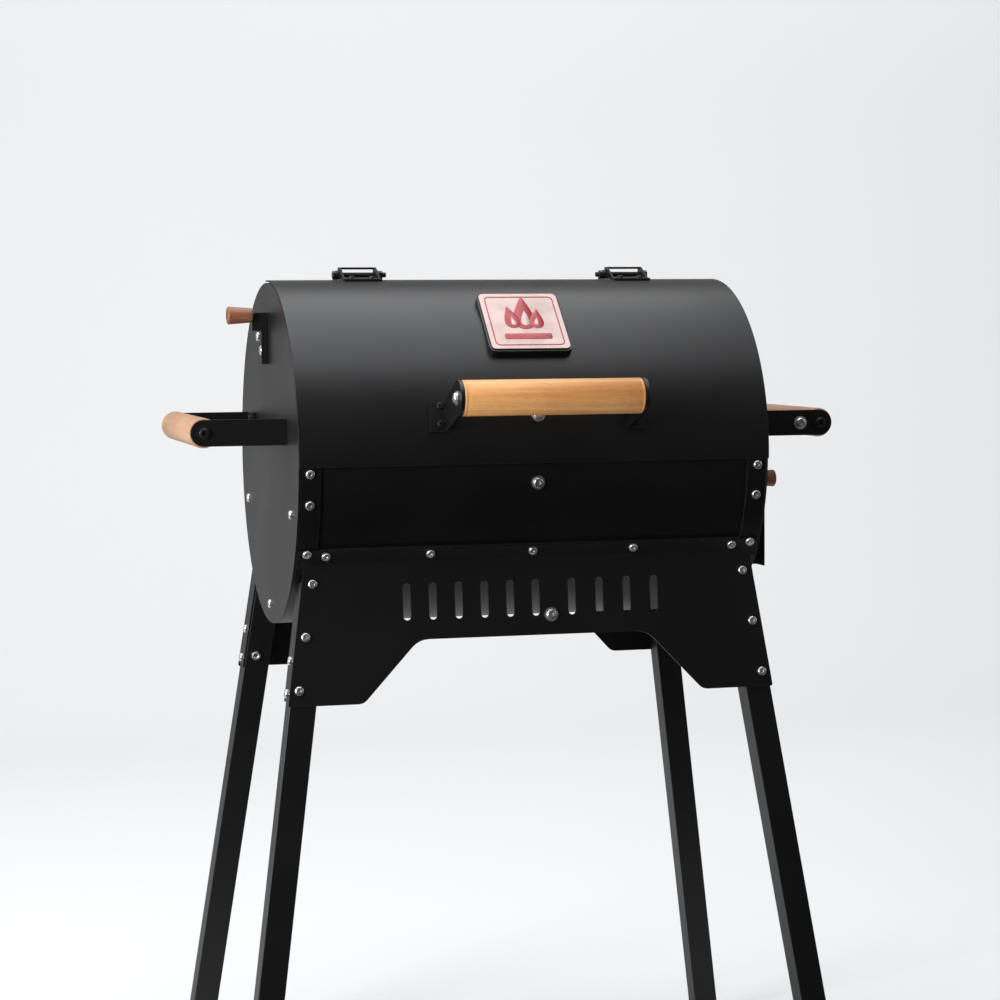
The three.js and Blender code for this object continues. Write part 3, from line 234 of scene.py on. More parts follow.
class Bench:
    """The modelling steps that many pieces share."""

    @staticmethod
    def clear_selection() -> None:
        """Leaves edit mode and deselects everything."""
        if bpy.context.object is not None and bpy.context.object.mode != "OBJECT":
            bpy.ops.object.mode_set(mode="OBJECT")
        bpy.ops.object.select_all(action="DESELECT")

    @staticmethod
    def pick(piece: Piece) -> None:
        """Selects one object alone and makes it active.

        Args:
            piece: The object.
        """
        Bench.clear_selection()
        piece.select_set(True)
        bpy.context.view_layer.objects.active = piece

    @staticmethod
    @contextmanager
    def editing(
        piece: Piece, kind: Pick = Pick.FACE, wanted: Callable[..., bool] | None = None
    ) -> Iterator[None]:
        """Opens a piece in edit mode for the steps inside, and closes it after them.

        Args:
            piece: The object to edit.
            kind: What is selected.
            wanted: The test on each element; without one, everything is selected.

        Returns:
            A context for the editing steps.
        """
        Bench.pick(piece)
        bpy.ops.object.mode_set(mode="EDIT")
        bpy.ops.mesh.select_mode(type=kind.name)
        bpy.ops.mesh.select_all(action="DESELECT" if wanted else "SELECT")
        if wanted:
            bpy.ops.object.mode_set(mode="OBJECT")
            for element in getattr(piece.data, kind.value):
                element.select = wanted(element)
            bpy.ops.object.mode_set(mode="EDIT")
        yield
        bpy.ops.object.mode_set(mode="OBJECT")

    @staticmethod
    def modify(piece: Piece, kind: str, **settings: object) -> None:
        """Adds a modifier and applies it.

        Args:
            piece: The object to change.
            kind: The modifier's type.
            settings: The modifier's own properties.
        """
        Bench.pick(piece)
        modifier = piece.modifiers.new(kind.lower(), kind)
        for name, value in settings.items():
            setattr(modifier, name, value)
        bpy.ops.object.modifier_apply(modifier=modifier.name)

    @staticmethod
    def smooth(piece: Piece, degrees: float) -> None:
        """Shades smooth across edges flatter than an angle."""
        Bench.pick(piece)
        bpy.ops.object.shade_smooth_by_angle(angle=math.radians(degrees))

    @staticmethod
    def bevel(piece: Piece, width: float, segments: int, degrees: float) -> None:
        """Rounds the edges that are sharper than an angle.

        Args:
            piece: The object to change.
            width: The bevel's width.
            segments: The number of steps across it.
            degrees: The least angle of an edge that is rounded.
        """
        limit = {"limit_method": "ANGLE", "angle_limit": math.radians(degrees), "harden_normals": False}
        Bench.modify(piece, "BEVEL", width=width, segments=segments, **limit)

    @staticmethod
    def settle(piece: Piece) -> None:
        """Puts a piece's place into its mesh and leaves its object at the origin."""
        piece.data.transform(piece.matrix_world)
        piece.matrix_world = Matrix.Identity(4)

    @staticmethod
    def cylinder(
        sides: int,
        radius: float,
        depth: float,
        middle: Sequence[float] = (0, 0, 0),
        turn: Sequence[float] = (0, 0, 0),
    ) -> Piece:
        """Adds a cylinder, with its place in its mesh.

        Args:
            sides: The number of its sides.
            radius: Its radius.
            depth: Its length.
            middle: The place of its middle.
            turn: Its turn about X, Y and Z, in radians.

        Returns:
            The cylinder.
        """
        Bench.clear_selection()
        bpy.ops.mesh.primitive_cylinder_add(
            vertices=sides, radius=radius, depth=depth, location=middle, rotation=turn
        )
        Bench.settle(bpy.context.object)
        return bpy.context.object

    @staticmethod
    def rectangle(width: float, depth: float, middle: Sequence[float] = (0, 0, 0)) -> Piece:
        """Adds a flat rectangle, with its place and size in its mesh.

        Args:
            width: Its size along X.
            depth: Its size along Y.
            middle: The place of its middle.

        Returns:
            The rectangle.
        """
        Bench.clear_selection()
        bpy.ops.mesh.primitive_plane_add(size=1, location=middle)
        bpy.context.object.scale = (width, depth, 1)
        bpy.ops.object.transform_apply(location=True, rotation=False, scale=True)
        return bpy.context.object

    @staticmethod
    def join(pieces: Sequence[Piece], name: str) -> Piece:
        """Joins several objects into one.

        Args:
            pieces: The objects; the first one keeps its place.
            name: The joined piece's name.

        Returns:
            The joined object.
        """
        Bench.clear_selection()
        for piece in pieces:
            piece.select_set(True)
        bpy.context.view_layer.objects.active = pieces[0]
        if len(pieces) > 1:
            bpy.ops.object.join()
        pieces[0].name = name
        return pieces[0]

    @staticmethod
    def copy(piece: Piece, placing: Matrix) -> Piece:
        """Copies a piece with a mesh of its own, and moves that mesh.

        Args:
            piece: The piece to copy.
            placing: The move.

        Returns:
            The copy.
        """
        made = piece.copy()
        made.data = piece.data.copy()
        made.data.transform(placing)
        bpy.context.scene.collection.objects.link(made)
        return made

    @staticmethod
    def facing(point: Vector, outward: Vector, spin_deg: float = 0.0) -> Matrix:
        """The matrix that stands a piece made along +Z on a point, facing outward and spun on its axis."""
        turn = outward.to_track_quat("Z", "Y").to_matrix().to_4x4()
        return Matrix.Translation(point) @ turn @ Matrix.Rotation(math.radians(spin_deg), 4, "Z")

    @staticmethod
    def copy_node(node: str, name: str, merge: float = 0.02 * MM, flat_deg: float = 0.4) -> Piece:
        """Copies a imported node's mesh into a merged, clean piece of its own.

        Args:
            node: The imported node.
            name: The new piece's name.
            merge: The distance within which points become one.
            flat_deg: The angle under which faces become one.

        Returns:
            The new piece, at the origin.
        """
        piece = bpy.data.objects.new(name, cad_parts[node].data.copy())
        bpy.context.scene.collection.objects.link(piece)
        piece.data.materials.clear()
        Bench.pick(piece)
        if piece.data.has_custom_normals:
            bpy.ops.mesh.customdata_custom_splitnormals_clear()
        with Bench.editing(piece, Pick.VERT):
            bpy.ops.mesh.remove_doubles(threshold=merge)
            bpy.ops.mesh.dissolve_limited(angle_limit=math.radians(flat_deg))
        return piece

    @staticmethod
    def dress(piece: Piece, material: Material) -> None:
        """Gives a piece one material alone, and leaves nothing selected.

        Args:
            piece: The piece.
            material: Its material.
        """
        Bench.clear_selection()
        piece.data.materials.clear()
        piece.data.materials.append(material)

    @staticmethod
    def hand_over(
        piece: Piece, body: Body, slot: str, material: Material, replaces: Iterable[str] = ()
    ) -> Piece:
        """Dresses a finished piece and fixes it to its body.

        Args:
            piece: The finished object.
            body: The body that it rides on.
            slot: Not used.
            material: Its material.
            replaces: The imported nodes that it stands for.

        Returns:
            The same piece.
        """
        Bench.dress(piece, material)
        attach(piece, body.value)
        nodes = list(replaces)
        if nodes:
            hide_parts(*nodes)
        LOG.info("%s rides on %s: %d faces", piece.name, body.value, len(piece.data.polygons))
        return piece


# ---------------------------------------------------------------- shader helpers


class Shader:
    """Builds a node tree step by step, for a material or a node group."""

    STEP = 180

    def __init__(self, tree: Tree) -> None:
        """Keeps the tree that the steps add to."""
        self.tree = tree
        self.column = 0

    def node(self, kind: str, **settings: object) -> Node:
        """Adds a node and sets its own properties.

        Args:
            kind: The node's type.
            settings: Its own properties.

        Returns:
            The node.
        """
        made = self.tree.nodes.new(kind)
        made.location = (self.STEP * self.column, 0)
        self.column += 1
        for name, value in settings.items():
            setattr(made, name, value)
        return made

    def feed(self, target: Plug, value: object) -> None:
        """Links a socket, or sets a plain value.

        Args:
            target: The socket to feed.
            value: Another socket, or a number or colour.
        """
        if isinstance(value, Plug):
            self.tree.links.new(value, target)
        else:
            target.default_value = value

    def fill(self, node: Node, **values: object) -> None:
        """Feeds several inputs of a node, each named with underscores for spaces."""
        for name, value in values.items():
            self.feed(node.inputs[name.replace("_", " ")], value)

    def math(self, operation: str, first: object, second: object = 0.5, clamp: bool = False) -> Plug:
        """One sum of two values.

        Args:
            operation: The math node's operation.
            first: A socket or a number.
            second: A socket or a number.
            clamp: Whether the result stays between 0 and 1.

        Returns:
            The result's socket.
        """
        made = self.node("ShaderNodeMath", operation=operation, use_clamp=clamp)
        self.feed(made.inputs[0], first)
        self.feed(made.inputs[1], second)
        return made.outputs[0]

    def times(self, first: object, second: object, clamp: bool = False) -> Plug:
        """Two values multiplied."""
        return self.math("MULTIPLY", first, second, clamp)

    def plus(self, first: object, second: object, clamp: bool = False) -> Plug:
        """Two values added."""
        return self.math("ADD", first, second, clamp)

    def noise(
        self, vector: Plug, scale: object, detail: float, roughness: float, distortion: float = 0.0
    ) -> Plug:
        """A noise value over the surface.

        Args:
            vector: The coordinates.
            scale: The noise's scale, a number or a socket.
            detail: The number of octaves.
            roughness: How strong the fine octaves are.
            distortion: How much the pattern is warped.

        Returns:
            The noise's value.
        """
        made = self.node("ShaderNodeTexNoise")
        self.fill(
            made, Vector=vector, Scale=scale, Detail=detail, Roughness=roughness, Distortion=distortion
        )
        return made.outputs["Fac"]

    def remap(
        self, value: Plug, low: float, high: float, to_low: object = 0.0, to_high: object = 1.0
    ) -> Plug:
        """Maps a value's range to another range, clamped.

        Args:
            value: The value's socket.
            low: The low end of the range in.
            high: The high end of the range in.
            to_low: What the low end becomes.
            to_high: What the high end becomes.

        Returns:
            The mapped value's socket.
        """
        made = self.node("ShaderNodeMapRange", clamp=True)
        self.fill(made, Value=value, From_Min=low, From_Max=high, To_Min=to_low, To_Max=to_high)
        return made.outputs["Result"]

    def mix(self, factor: object, first: object, second: object, blend: str = "MIX") -> Plug:
        """Mixes two colours.

        Args:
            factor: A socket or a number.
            first: The colour at 0.
            second: The colour at 1.
            blend: The way they are mixed.

        Returns:
            The mixed colour's socket.
        """
        made = self.node("ShaderNodeMix", data_type="RGBA", blend_type=blend)
        for index, value in ((0, factor), (6, first), (7, second)):
            self.feed(made.inputs[index], value)
        return made.outputs[2]

    def vector(self, operation: str, first: object, second: object) -> Node:
        """One sum of two vectors.

        Args:
            operation: The vector math node's operation.
            first: A socket or three numbers.
            second: A socket or three numbers.

        Returns:
            The node.
        """
        made = self.node("ShaderNodeVectorMath", operation=operation)
        self.feed(made.inputs[0], first)
        self.feed(made.inputs[1], second)
        return made

    def split(self, value: Plug) -> Sequence[Plug]:
        """Splits a vector.

        Args:
            value: The vector's socket.

        Returns:
            Its X, Y and Z.
        """
        made = self.node("ShaderNodeSeparateXYZ")
        self.feed(made.inputs[0], value)
        return made.outputs

    def group(self, tree: Tree, **inputs: object) -> Sequence[Plug]:
        """Places a shared group with this material's own values.

        Args:
            tree: The shared group.
            inputs: Its inputs, with underscores for spaces.

        Returns:
            The group's outputs.
        """
        made = self.node("ShaderNodeGroup")
        made.node_tree = tree
        self.fill(made, **inputs)
        return made.outputs

    def bump(self, height: Plug, distance: float, strength: float, normal: Plug | None = None) -> Plug:
        """Adds a bump from a height, on top of another one when given.

        Args:
            height: The height's socket.
            distance: The height's full depth in metres.
            strength: How strong the bump is.
            normal: The normal of an earlier bump.

        Returns:
            The bent normal's socket.
        """
        made = self.node("ShaderNodeBump")
        self.fill(made, Distance=distance, Strength=strength, Height=height)
        if normal is not None:
            self.feed(made.inputs["Normal"], normal)
        return made.outputs["Normal"]


@dataclass(frozen=True)
class Socket:
    """One named input or output of a node group."""

    name: str
    kind: str = "NodeSocketFloat"
    value: object = None


class SharedGroups:
    """The node groups that more than one material uses."""

    WHERE = Socket("Vector", "NodeSocketVector")
    PALE_RING = (0.95, 0.74, 0.42, 1)
    EDGE_RADIUS = 0.9 * MM

    def __init__(self) -> None:
        """Builds every group once."""
        self.orange_peel = self._orange_peel()
        self.settled_dust = self._settled_dust()
        self.rubbed_edges = self._rubbed_edges()
        self.soot = self._soot()
        self.wood_grain = self._wood_grain()
        self.fine_scratches = self._fine_scratches()

    @classmethod
    def _open(
        cls, name: str, inputs: Sequence[Socket], outputs: Sequence[Socket]
    ) -> tuple[Shader, Sequence[Plug], Node]:
        """Starts a group whose first input is the coordinates.

        Args:
            name: The group's name.
            inputs: Its other inputs.
            outputs: Its outputs.

        Returns:
            The group's shader helper, what it is given, and the node of its results.
        """
        group = bpy.data.node_groups.new(name, "ShaderNodeTree")
        for way, sockets in (("INPUT", [cls.WHERE, *inputs]), ("OUTPUT", outputs)):
            for item in sockets:
                made = group.interface.new_socket(name=item.name, in_out=way, socket_type=item.kind)
                if item.value is not None:
                    made.default_value = item.value
        shader = Shader(group)
        return shader, shader.node("NodeGroupInput").outputs, shader.node("NodeGroupOutput")

    def _orange_peel(self) -> Tree:
        """The fine, soft unevenness of a baked powder coat.

        Returns:
            The group.
        """
        shader, given, result = self._open(
            "orange_peel",
            [Socket("Grain Scale", value=900.0), Socket("Cloud Scale", value=9.0)],
            [Socket("Height"), Socket("Roughness Shift"), Socket("Cloud")],
        )
        where, scale = given["Vector"], given["Grain Scale"]
        fine = shader.noise(where, scale, detail=2.0, roughness=0.6)
        soft = shader.noise(where, shader.times(scale, 0.28), detail=2.0, roughness=0.5)
        cloud = shader.noise(where, given["Cloud Scale"], detail=2.0, roughness=0.5, distortion=0.4)
        shader.fill(
            result,
            Height=shader.plus(shader.times(fine, 0.45), shader.times(soft, 0.55)),
            Roughness_Shift=shader.remap(cloud, 0.3, 0.7, -0.025, 0.03),
            Cloud=cloud,
        )
        return shader.tree

    def _settled_dust(self) -> Tree:
        """A mask of dust on what faces up, broken up by noise.

        Returns:
            The group.
        """
        shader, given, result = self._open("settled_dust", [Socket("Amount", value=0.2)], [Socket("Mask")])
        where = given["Vector"]
        normal = shader.node("ShaderNodeNewGeometry").outputs["Normal"]
        upward = shader.remap(shader.split(normal)["Z"], 0.15, 1.0)
        speck = shader.remap(shader.noise(where, 1400.0, detail=2.0, roughness=0.7), 0.5, 0.78)
        patch = shader.remap(shader.noise(where, 26.0, detail=4.0, roughness=0.65), 0.38, 0.72, 0.25, 1.0)
        mask = shader.times(shader.times(upward, speck), patch)
        shader.fill(result, Mask=shader.times(mask, given["Amount"], clamp=True))
        return shader.tree

    def _rubbed_edges(self) -> Tree:
        """A mask of edges that hands and tools have rubbed.

        Returns:
            The group.
        """
        shader, given, result = self._open("rubbed_edges", [Socket("Amount", value=0.5)], [Socket("Mask")])
        rounded = shader.node("ShaderNodeBevel", samples=4)
        shader.fill(rounded, Radius=self.EDGE_RADIUS)
        normal = shader.node("ShaderNodeNewGeometry").outputs["Normal"]
        facing = shader.vector("DOT_PRODUCT", rounded.outputs["Normal"], normal)
        edge = shader.remap(facing.outputs["Value"], 0.995, 0.93)
        noise = shader.noise(given["Vector"], 240.0, detail=4.0, roughness=0.7)
        mask = shader.times(edge, shader.remap(noise, 0.42, 0.62))
        shader.fill(result, Mask=shader.times(mask, given["Amount"], clamp=True))
        return shader.tree

    def _soot(self) -> Tree:
        """A mask of smoke staining, on what lies inside the drum.

        Returns:
            The group.
        """
        sizes = [
            Socket("Axis Y"),
            Socket("Axis Z"),
            Socket("Radius", value=0.2),
            Socket("End X", value=0.275),
        ]
        shader, given, result = self._open("soot", sizes, [Socket("Mask"), Socket("Height")])
        where = given["Vector"]
        parts = shader.split(where)
        across = shader.math("SUBTRACT", parts["Y"], given["Axis Y"])
        above = shader.math("SUBTRACT", parts["Z"], given["Axis Z"])
        squared = shader.plus(shader.times(across, across), shader.times(above, above))
        inside = shader.math("LESS_THAN", shader.math("SQRT", squared), given["Radius"])
        within = shader.math("LESS_THAN", shader.math("ABSOLUTE", parts["X"]), given["End X"])
        stain = shader.noise(where, 11.0, detail=6.0, roughness=0.65, distortion=0.6)
        mask = shader.times(shader.times(inside, within), shader.remap(stain, 0.25, 0.65, 0.55, 1.0))
        crust = shader.noise(where, 420.0, detail=5.0, roughness=0.7)
        shader.fill(result, Mask=mask, Height=shader.times(crust, mask))
        return shader.tree

    def _wood_grain(self) -> Tree:
        """Turned beech: long grain, growth bands and short dark rays, along the coordinates' X.

        Returns:
            The group.
        """
        shader, given, result = self._open(
            "wood_grain",
            [
                Socket("Light", "NodeSocketColor", (0.8, 0.5, 0.25, 1)),
                Socket("Dark", "NodeSocketColor", (0.5, 0.25, 0.1, 1)),
                Socket("Ray", "NodeSocketColor", (0.3, 0.13, 0.05, 1)),
                Socket("Contrast", value=0.6),
            ],
            [Socket("Color", "NodeSocketColor"), Socket("Height"), Socket("Roughness Shift")],
        )
        where, dark = given["Vector"], given["Dark"]

        def drawn(along: float, across: float, detail: float, roughness: float, warp: float = 0.0) -> Plug:
            """A noise drawn out along the grain."""
            stretched = shader.vector("MULTIPLY", where, (along, across, across)).outputs[0]
            return shader.noise(stretched, 1.0, detail, roughness, warp)

        bands = drawn(2.2, 60.0, 5.0, 0.55, 0.5)
        fibre = drawn(22.0, 900.0, 3.0, 0.6)
        ray = drawn(110.0, 1500.0, 1.0, 0.5)
        streak = drawn(5.0, 190.0, 4.0, 0.6, 0.3)
        patch = shader.noise(where, 14.0, detail=3.0, roughness=0.5)
        ray_mask = shader.remap(ray, 0.64, 0.74, 0.0, 0.6)
        band_mask = shader.times(shader.remap(bands, 0.36, 0.64), given["Contrast"], clamp=True)
        wood = shader.mix(band_mask, given["Light"], dark)
        wood = shader.mix(shader.remap(fibre, 0.35, 0.75, 0.0, 0.32), wood, dark)
        wood = shader.mix(ray_mask, wood, given["Ray"])
        wood = shader.mix(shader.remap(streak, 0.48, 0.7, 0.0, 0.5), wood, dark)
        wood = shader.mix(shader.remap(streak, 0.26, 0.42, 0.28, 0.0), wood, self.PALE_RING)
        wood = shader.mix(shader.remap(patch, 0.3, 0.7, 0.0, 0.22), wood, dark, "MULTIPLY")
        shader.fill(
            result,
            Color=wood,
            Height=shader.math("SUBTRACT", shader.times(fibre, 0.5), shader.times(ray_mask, 0.8)),
            Roughness_Shift=shader.remap(fibre, 0.3, 0.7, -0.06, 0.08),
        )
        return shader.tree

    def _fine_scratches(self) -> Tree:
        """Drawing lines of rolled or brushed metal, along the coordinates' X.

        Returns:
            The group.
        """
        shader, given, result = self._open(
            "fine_scratches",
            [Socket("Fineness", value=1800.0)],
            [Socket("Height"), Socket("Roughness Shift"), Socket("Tone")],
        )
        across = given["Fineness"]
        scale = shader.node("ShaderNodeCombineXYZ")
        shader.fill(scale, X=shader.times(across, 0.02), Y=across, Z=across)
        stretched = shader.vector("MULTIPLY", given["Vector"], scale.outputs[0]).outputs[0]
        lines = shader.noise(stretched, 1.0, detail=3.0, roughness=0.6)
        shader.fill(
            result,
            Height=lines,
            Roughness_Shift=shader.remap(lines, 0.3, 0.7, -0.07, 0.09),
            Tone=shader.noise(given["Vector"], 30.0, detail=4.0, roughness=0.6),
        )
        return shader.tree


# ---------------------------------------------------------------- finishes


@dataclass(frozen=True)
class Finish:
    """What every finish has: a name and the shared groups."""

    name: str
    groups: SharedGroups

    def start(self) -> tuple[Material, Shader, Node, Plug]:
        """Makes an empty material.

        Returns:
            The material, its shader helper, its Principled node and its object coordinates.
        """
        material = bpy.data.materials.new(self.name)
        material.use_nodes = True
        shader = Shader(material.node_tree)
        surface = material.node_tree.nodes["Principled BSDF"]
        return material, shader, surface, shader.node("ShaderNodeTexCoord").outputs["Object"]


@dataclass(frozen=True)
class PowderCoat(Finish):
    """Satin powder coat on sheet steel, sooty where it lies inside the drum."""

    drum: Drum
    inner_radius: float
    dust: float = 0.02
    wear: float = 0.3
    roughness: float = 0.42
    peel: float = 0.07
    inside_end: float = 1.0 * MM
    colour: Colour = (0.0014, 0.0015, 0.0019, 1)
    dust_colour: Colour = (0.30, 0.29, 0.27, 1)
    soot_colour: Colour = (0.014, 0.010, 0.0075, 1)
    worn_colour: Colour = (0.10, 0.10, 0.105, 1)

    def make(self) -> Material:
        """Builds the material.

        Returns:
            The material.
        """
        material, shader, surface, where = self.start()
        groups = self.groups
        peel = shader.group(groups.orange_peel, Vector=where, Grain_Scale=1100.0, Cloud_Scale=7.0)
        dust = shader.group(groups.settled_dust, Vector=where, Amount=self.dust)["Mask"]
        worn = shader.group(groups.rubbed_edges, Vector=where, Amount=self.wear)["Mask"]
        axis = {"Axis_Y": self.drum.axis_y, "Axis_Z": self.drum.axis_z}
        reach = {"Radius": self.inner_radius, "End_X": self.drum.end_x - self.inside_end}
        soot = shader.group(groups.soot, Vector=where, **axis, **reach)
        faded = shader.remap(peel["Cloud"], 0.35, 0.7, 0.0, 0.3)
        coat = shader.mix(faded, self.colour, tinted(self.colour, 1.7))
        coat = shader.mix(dust, coat, self.dust_colour)
        coat = shader.mix(soot["Mask"], coat, self.soot_colour)
        dulled = shader.plus(shader.plus(peel["Roughness Shift"], self.roughness), shader.times(dust, 0.5))
        fine = shader.bump(peel["Height"], 0.08 * MM, self.peel)
        shader.fill(
            surface,
            Base_Color=shader.mix(worn, coat, self.worn_colour),
            Roughness=shader.plus(dulled, shader.times(soot["Mask"], 0.34), clamp=True),
            Normal=shader.bump(soot["Height"], 0.5 * MM, 0.5, fine),
            IOR=1.5,
        )
        return material


@dataclass(frozen=True)
class TurnedWood(Finish):
    """Oiled wood turned round an axis that lies along one of the row's axes."""

    grain: Grain
    light: Colour
    dark: Colour
    ray: Colour
    contrast: float
    roughness: float = 0.46
    wear: float = 0.35
    centre: tuple[float, float, float] = (0.0, 0.0, 0.0)

    def _along_grain(self, shader: Shader, where: Plug) -> Plug:
        """Centres and turns the coordinates, so that their X follows the grain.

        Args:
            shader: The material's helper.
            where: The object coordinates.

        Returns:
            The turned coordinates.
        """
        mapping = shader.node("ShaderNodeMapping", vector_type="POINT")
        shift = tuple(-value for value in self.centre)
        turn = (0, 0, math.radians(-90 if self.grain is Grain.Y else 0))
        shader.fill(mapping, Vector=where, Location=shift, Rotation=turn)
        return mapping.outputs["Vector"]

    def make(self) -> Material:
        """Builds the material.

        Returns:
            The material.
        """
        material, shader, surface, where = self.start()
        along = self._along_grain(shader, where)
        colours = {"Light": self.light, "Dark": self.dark, "Ray": self.ray}
        grain = shader.group(self.groups.wood_grain, Vector=along, Contrast=self.contrast, **colours)
        worn = shader.group(self.groups.rubbed_edges, Vector=where, Amount=self.wear)["Mask"]
        handling = shader.noise(where, 18.0, detail=4.0, roughness=0.6)
        handled = shader.mix(shader.remap(handling, 0.5, 0.75, 0.0, 0.2), grain["Color"], self.ray)
        shader.fill(
            surface,
            Base_Color=shader.mix(worn, handled, tinted(self.light, 1.15)),
            Roughness=shader.plus(grain["Roughness Shift"], self.roughness, clamp=True),
            Normal=shader.bump(grain["Height"], 0.15 * MM, 0.35),
            IOR=1.45,
            Coat_Weight=0.12,
            Coat_Roughness=0.3,
        )
        return material


@dataclass(frozen=True)
class PlainMetal(Finish):
    """Bare or plated metal with drawing lines and a little tarnish."""

    colour: Colour
    tarnish: Colour
    roughness: float
    tarnish_amount: float = 0.4
    line_depth: float = 0.2
    fineness: float = 1800.0
    metallic: float = 1.0

    def make(self) -> Material:
        """Builds the material.

        Returns:
            The material.
        """
        material, shader, surface, where = self.start()
        lines = shader.group(self.groups.fine_scratches, Vector=where, Fineness=self.fineness)
        dull = shader.remap(lines["Tone"], 0.45, 0.75, 0.0, self.tarnish_amount)
        rough = shader.plus(lines["Roughness Shift"], self.roughness)
        shader.fill(
            surface,
            Base_Color=shader.mix(dull, self.colour, self.tarnish),
            Roughness=shader.plus(rough, shader.times(dull, 0.35), clamp=True),
            Metallic=self.metallic,
            Normal=shader.bump(lines["Height"], 0.05 * MM, self.line_depth),
        )
        return material


@dataclass(frozen=True)
class SeasonedSteel(Finish):
    """Grate rods after many fires: brown-black, greasy and crusted in places."""

    bare: Colour = (0.16, 0.15, 0.14, 1)
    greasy: Colour = (0.035, 0.024, 0.017, 1)
    crusted: Colour = (0.02, 0.013, 0.01, 1)

    def make(self) -> Material:
        """Builds the material.

        Returns:
            The material.
        """
        material, shader, surface, where = self.start()
        patch = shader.noise(where, 60.0, detail=6.0, roughness=0.7, distortion=0.5)
        crust = shader.noise(where, 700.0, detail=4.0, roughness=0.7)
        steel = shader.mix(shader.remap(patch, 0.35, 0.6), self.bare, self.greasy)
        shader.fill(
            surface,
            Base_Color=shader.mix(shader.remap(crust, 0.62, 0.8), steel, self.crusted),
            Roughness=shader.remap(patch, 0.3, 0.65, 0.32, 0.62),
            Metallic=shader.remap(patch, 0.35, 0.65, 0.95, 0.35),
            Normal=shader.bump(crust, 0.3 * MM, 0.5),
        )
        return material


@dataclass(frozen=True)
class MouldedPlastic(Finish):
    """Matt plastic with a spark-eroded skin and floor dust low down."""

    colour: Colour = (0.012, 0.012, 0.012, 1)
    dirt_colour: Colour = (0.18, 0.16, 0.14, 1)
    dirt_height: float = 12 * MM

    def make(self) -> Material:
        """Builds the material.

        Returns:
            The material.
        """
        material, shader, surface, where = self.start()
        skin = shader.noise(where, 2200.0, detail=2.0, roughness=0.6)
        scuff = shader.noise(where, 90.0, detail=5.0, roughness=0.7)
        low = shader.remap(shader.split(where)["Z"], 0.0, self.dirt_height, 0.35, 0.0)
        dirt = shader.times(low, shader.remap(scuff, 0.4, 0.7), clamp=True)
        shader.fill(
            surface,
            Base_Color=shader.mix(dirt, self.colour, self.dirt_colour),
            Roughness=shader.remap(scuff, 0.3, 0.7, 0.5, 0.78),
            Normal=shader.bump(skin, 0.1 * MM, 0.4),
        )
        return material


@dataclass(frozen=True)
class Enamel(Finish):
    """Filled enamel paint, glossy and slightly uneven."""

    colour: Colour = (0.42, 0.018, 0.025, 1)

    def make(self) -> Material:
        """Builds the material.

        Returns:
            The material.
        """
        material, shader, surface, where = self.start()
        wave = shader.noise(where, 260.0, detail=3.0, roughness=0.5)
        shader.fill(
            surface,
            Base_Color=shader.mix(shader.remap(wave, 0.35, 0.7), self.colour, tinted(self.colour, 0.6)),
            Roughness=shader.remap(wave, 0.3, 0.7, 0.22, 0.36),
            Normal=shader.bump(wave, 0.1 * MM, 0.3),
        )
        return material


@dataclass(frozen=True)
class StudioPaper(Finish):
    """The pale paper of the floor and backdrop, or a dark cloth."""

    colour: Colour = (0.52, 0.523, 0.526, 1)
    glow: float = 0.35
    glow_colour: Colour = (0.985, 0.99, 1.0, 1)

    def make(self) -> Material:
        """Builds the material: the camera sees it lifted, and its reflections stay dim.

        Returns:
            The material.
        """
        material, shader, surface, where = self.start()
        cloud = shader.noise(where, 0.8, detail=2.0, roughness=0.5)
        path = shader.node("ShaderNodeLightPath")
        shader.fill(
            surface,
            Base_Color=shader.mix(cloud, self.colour, tinted(self.colour, 0.97)),
            Emission_Strength=shader.times(path.outputs["Is Camera Ray"], self.glow),
            Emission_Color=self.glow_colour,
            Roughness=0.85,
            Specular_IOR_Level=0.1,
        )
        return material


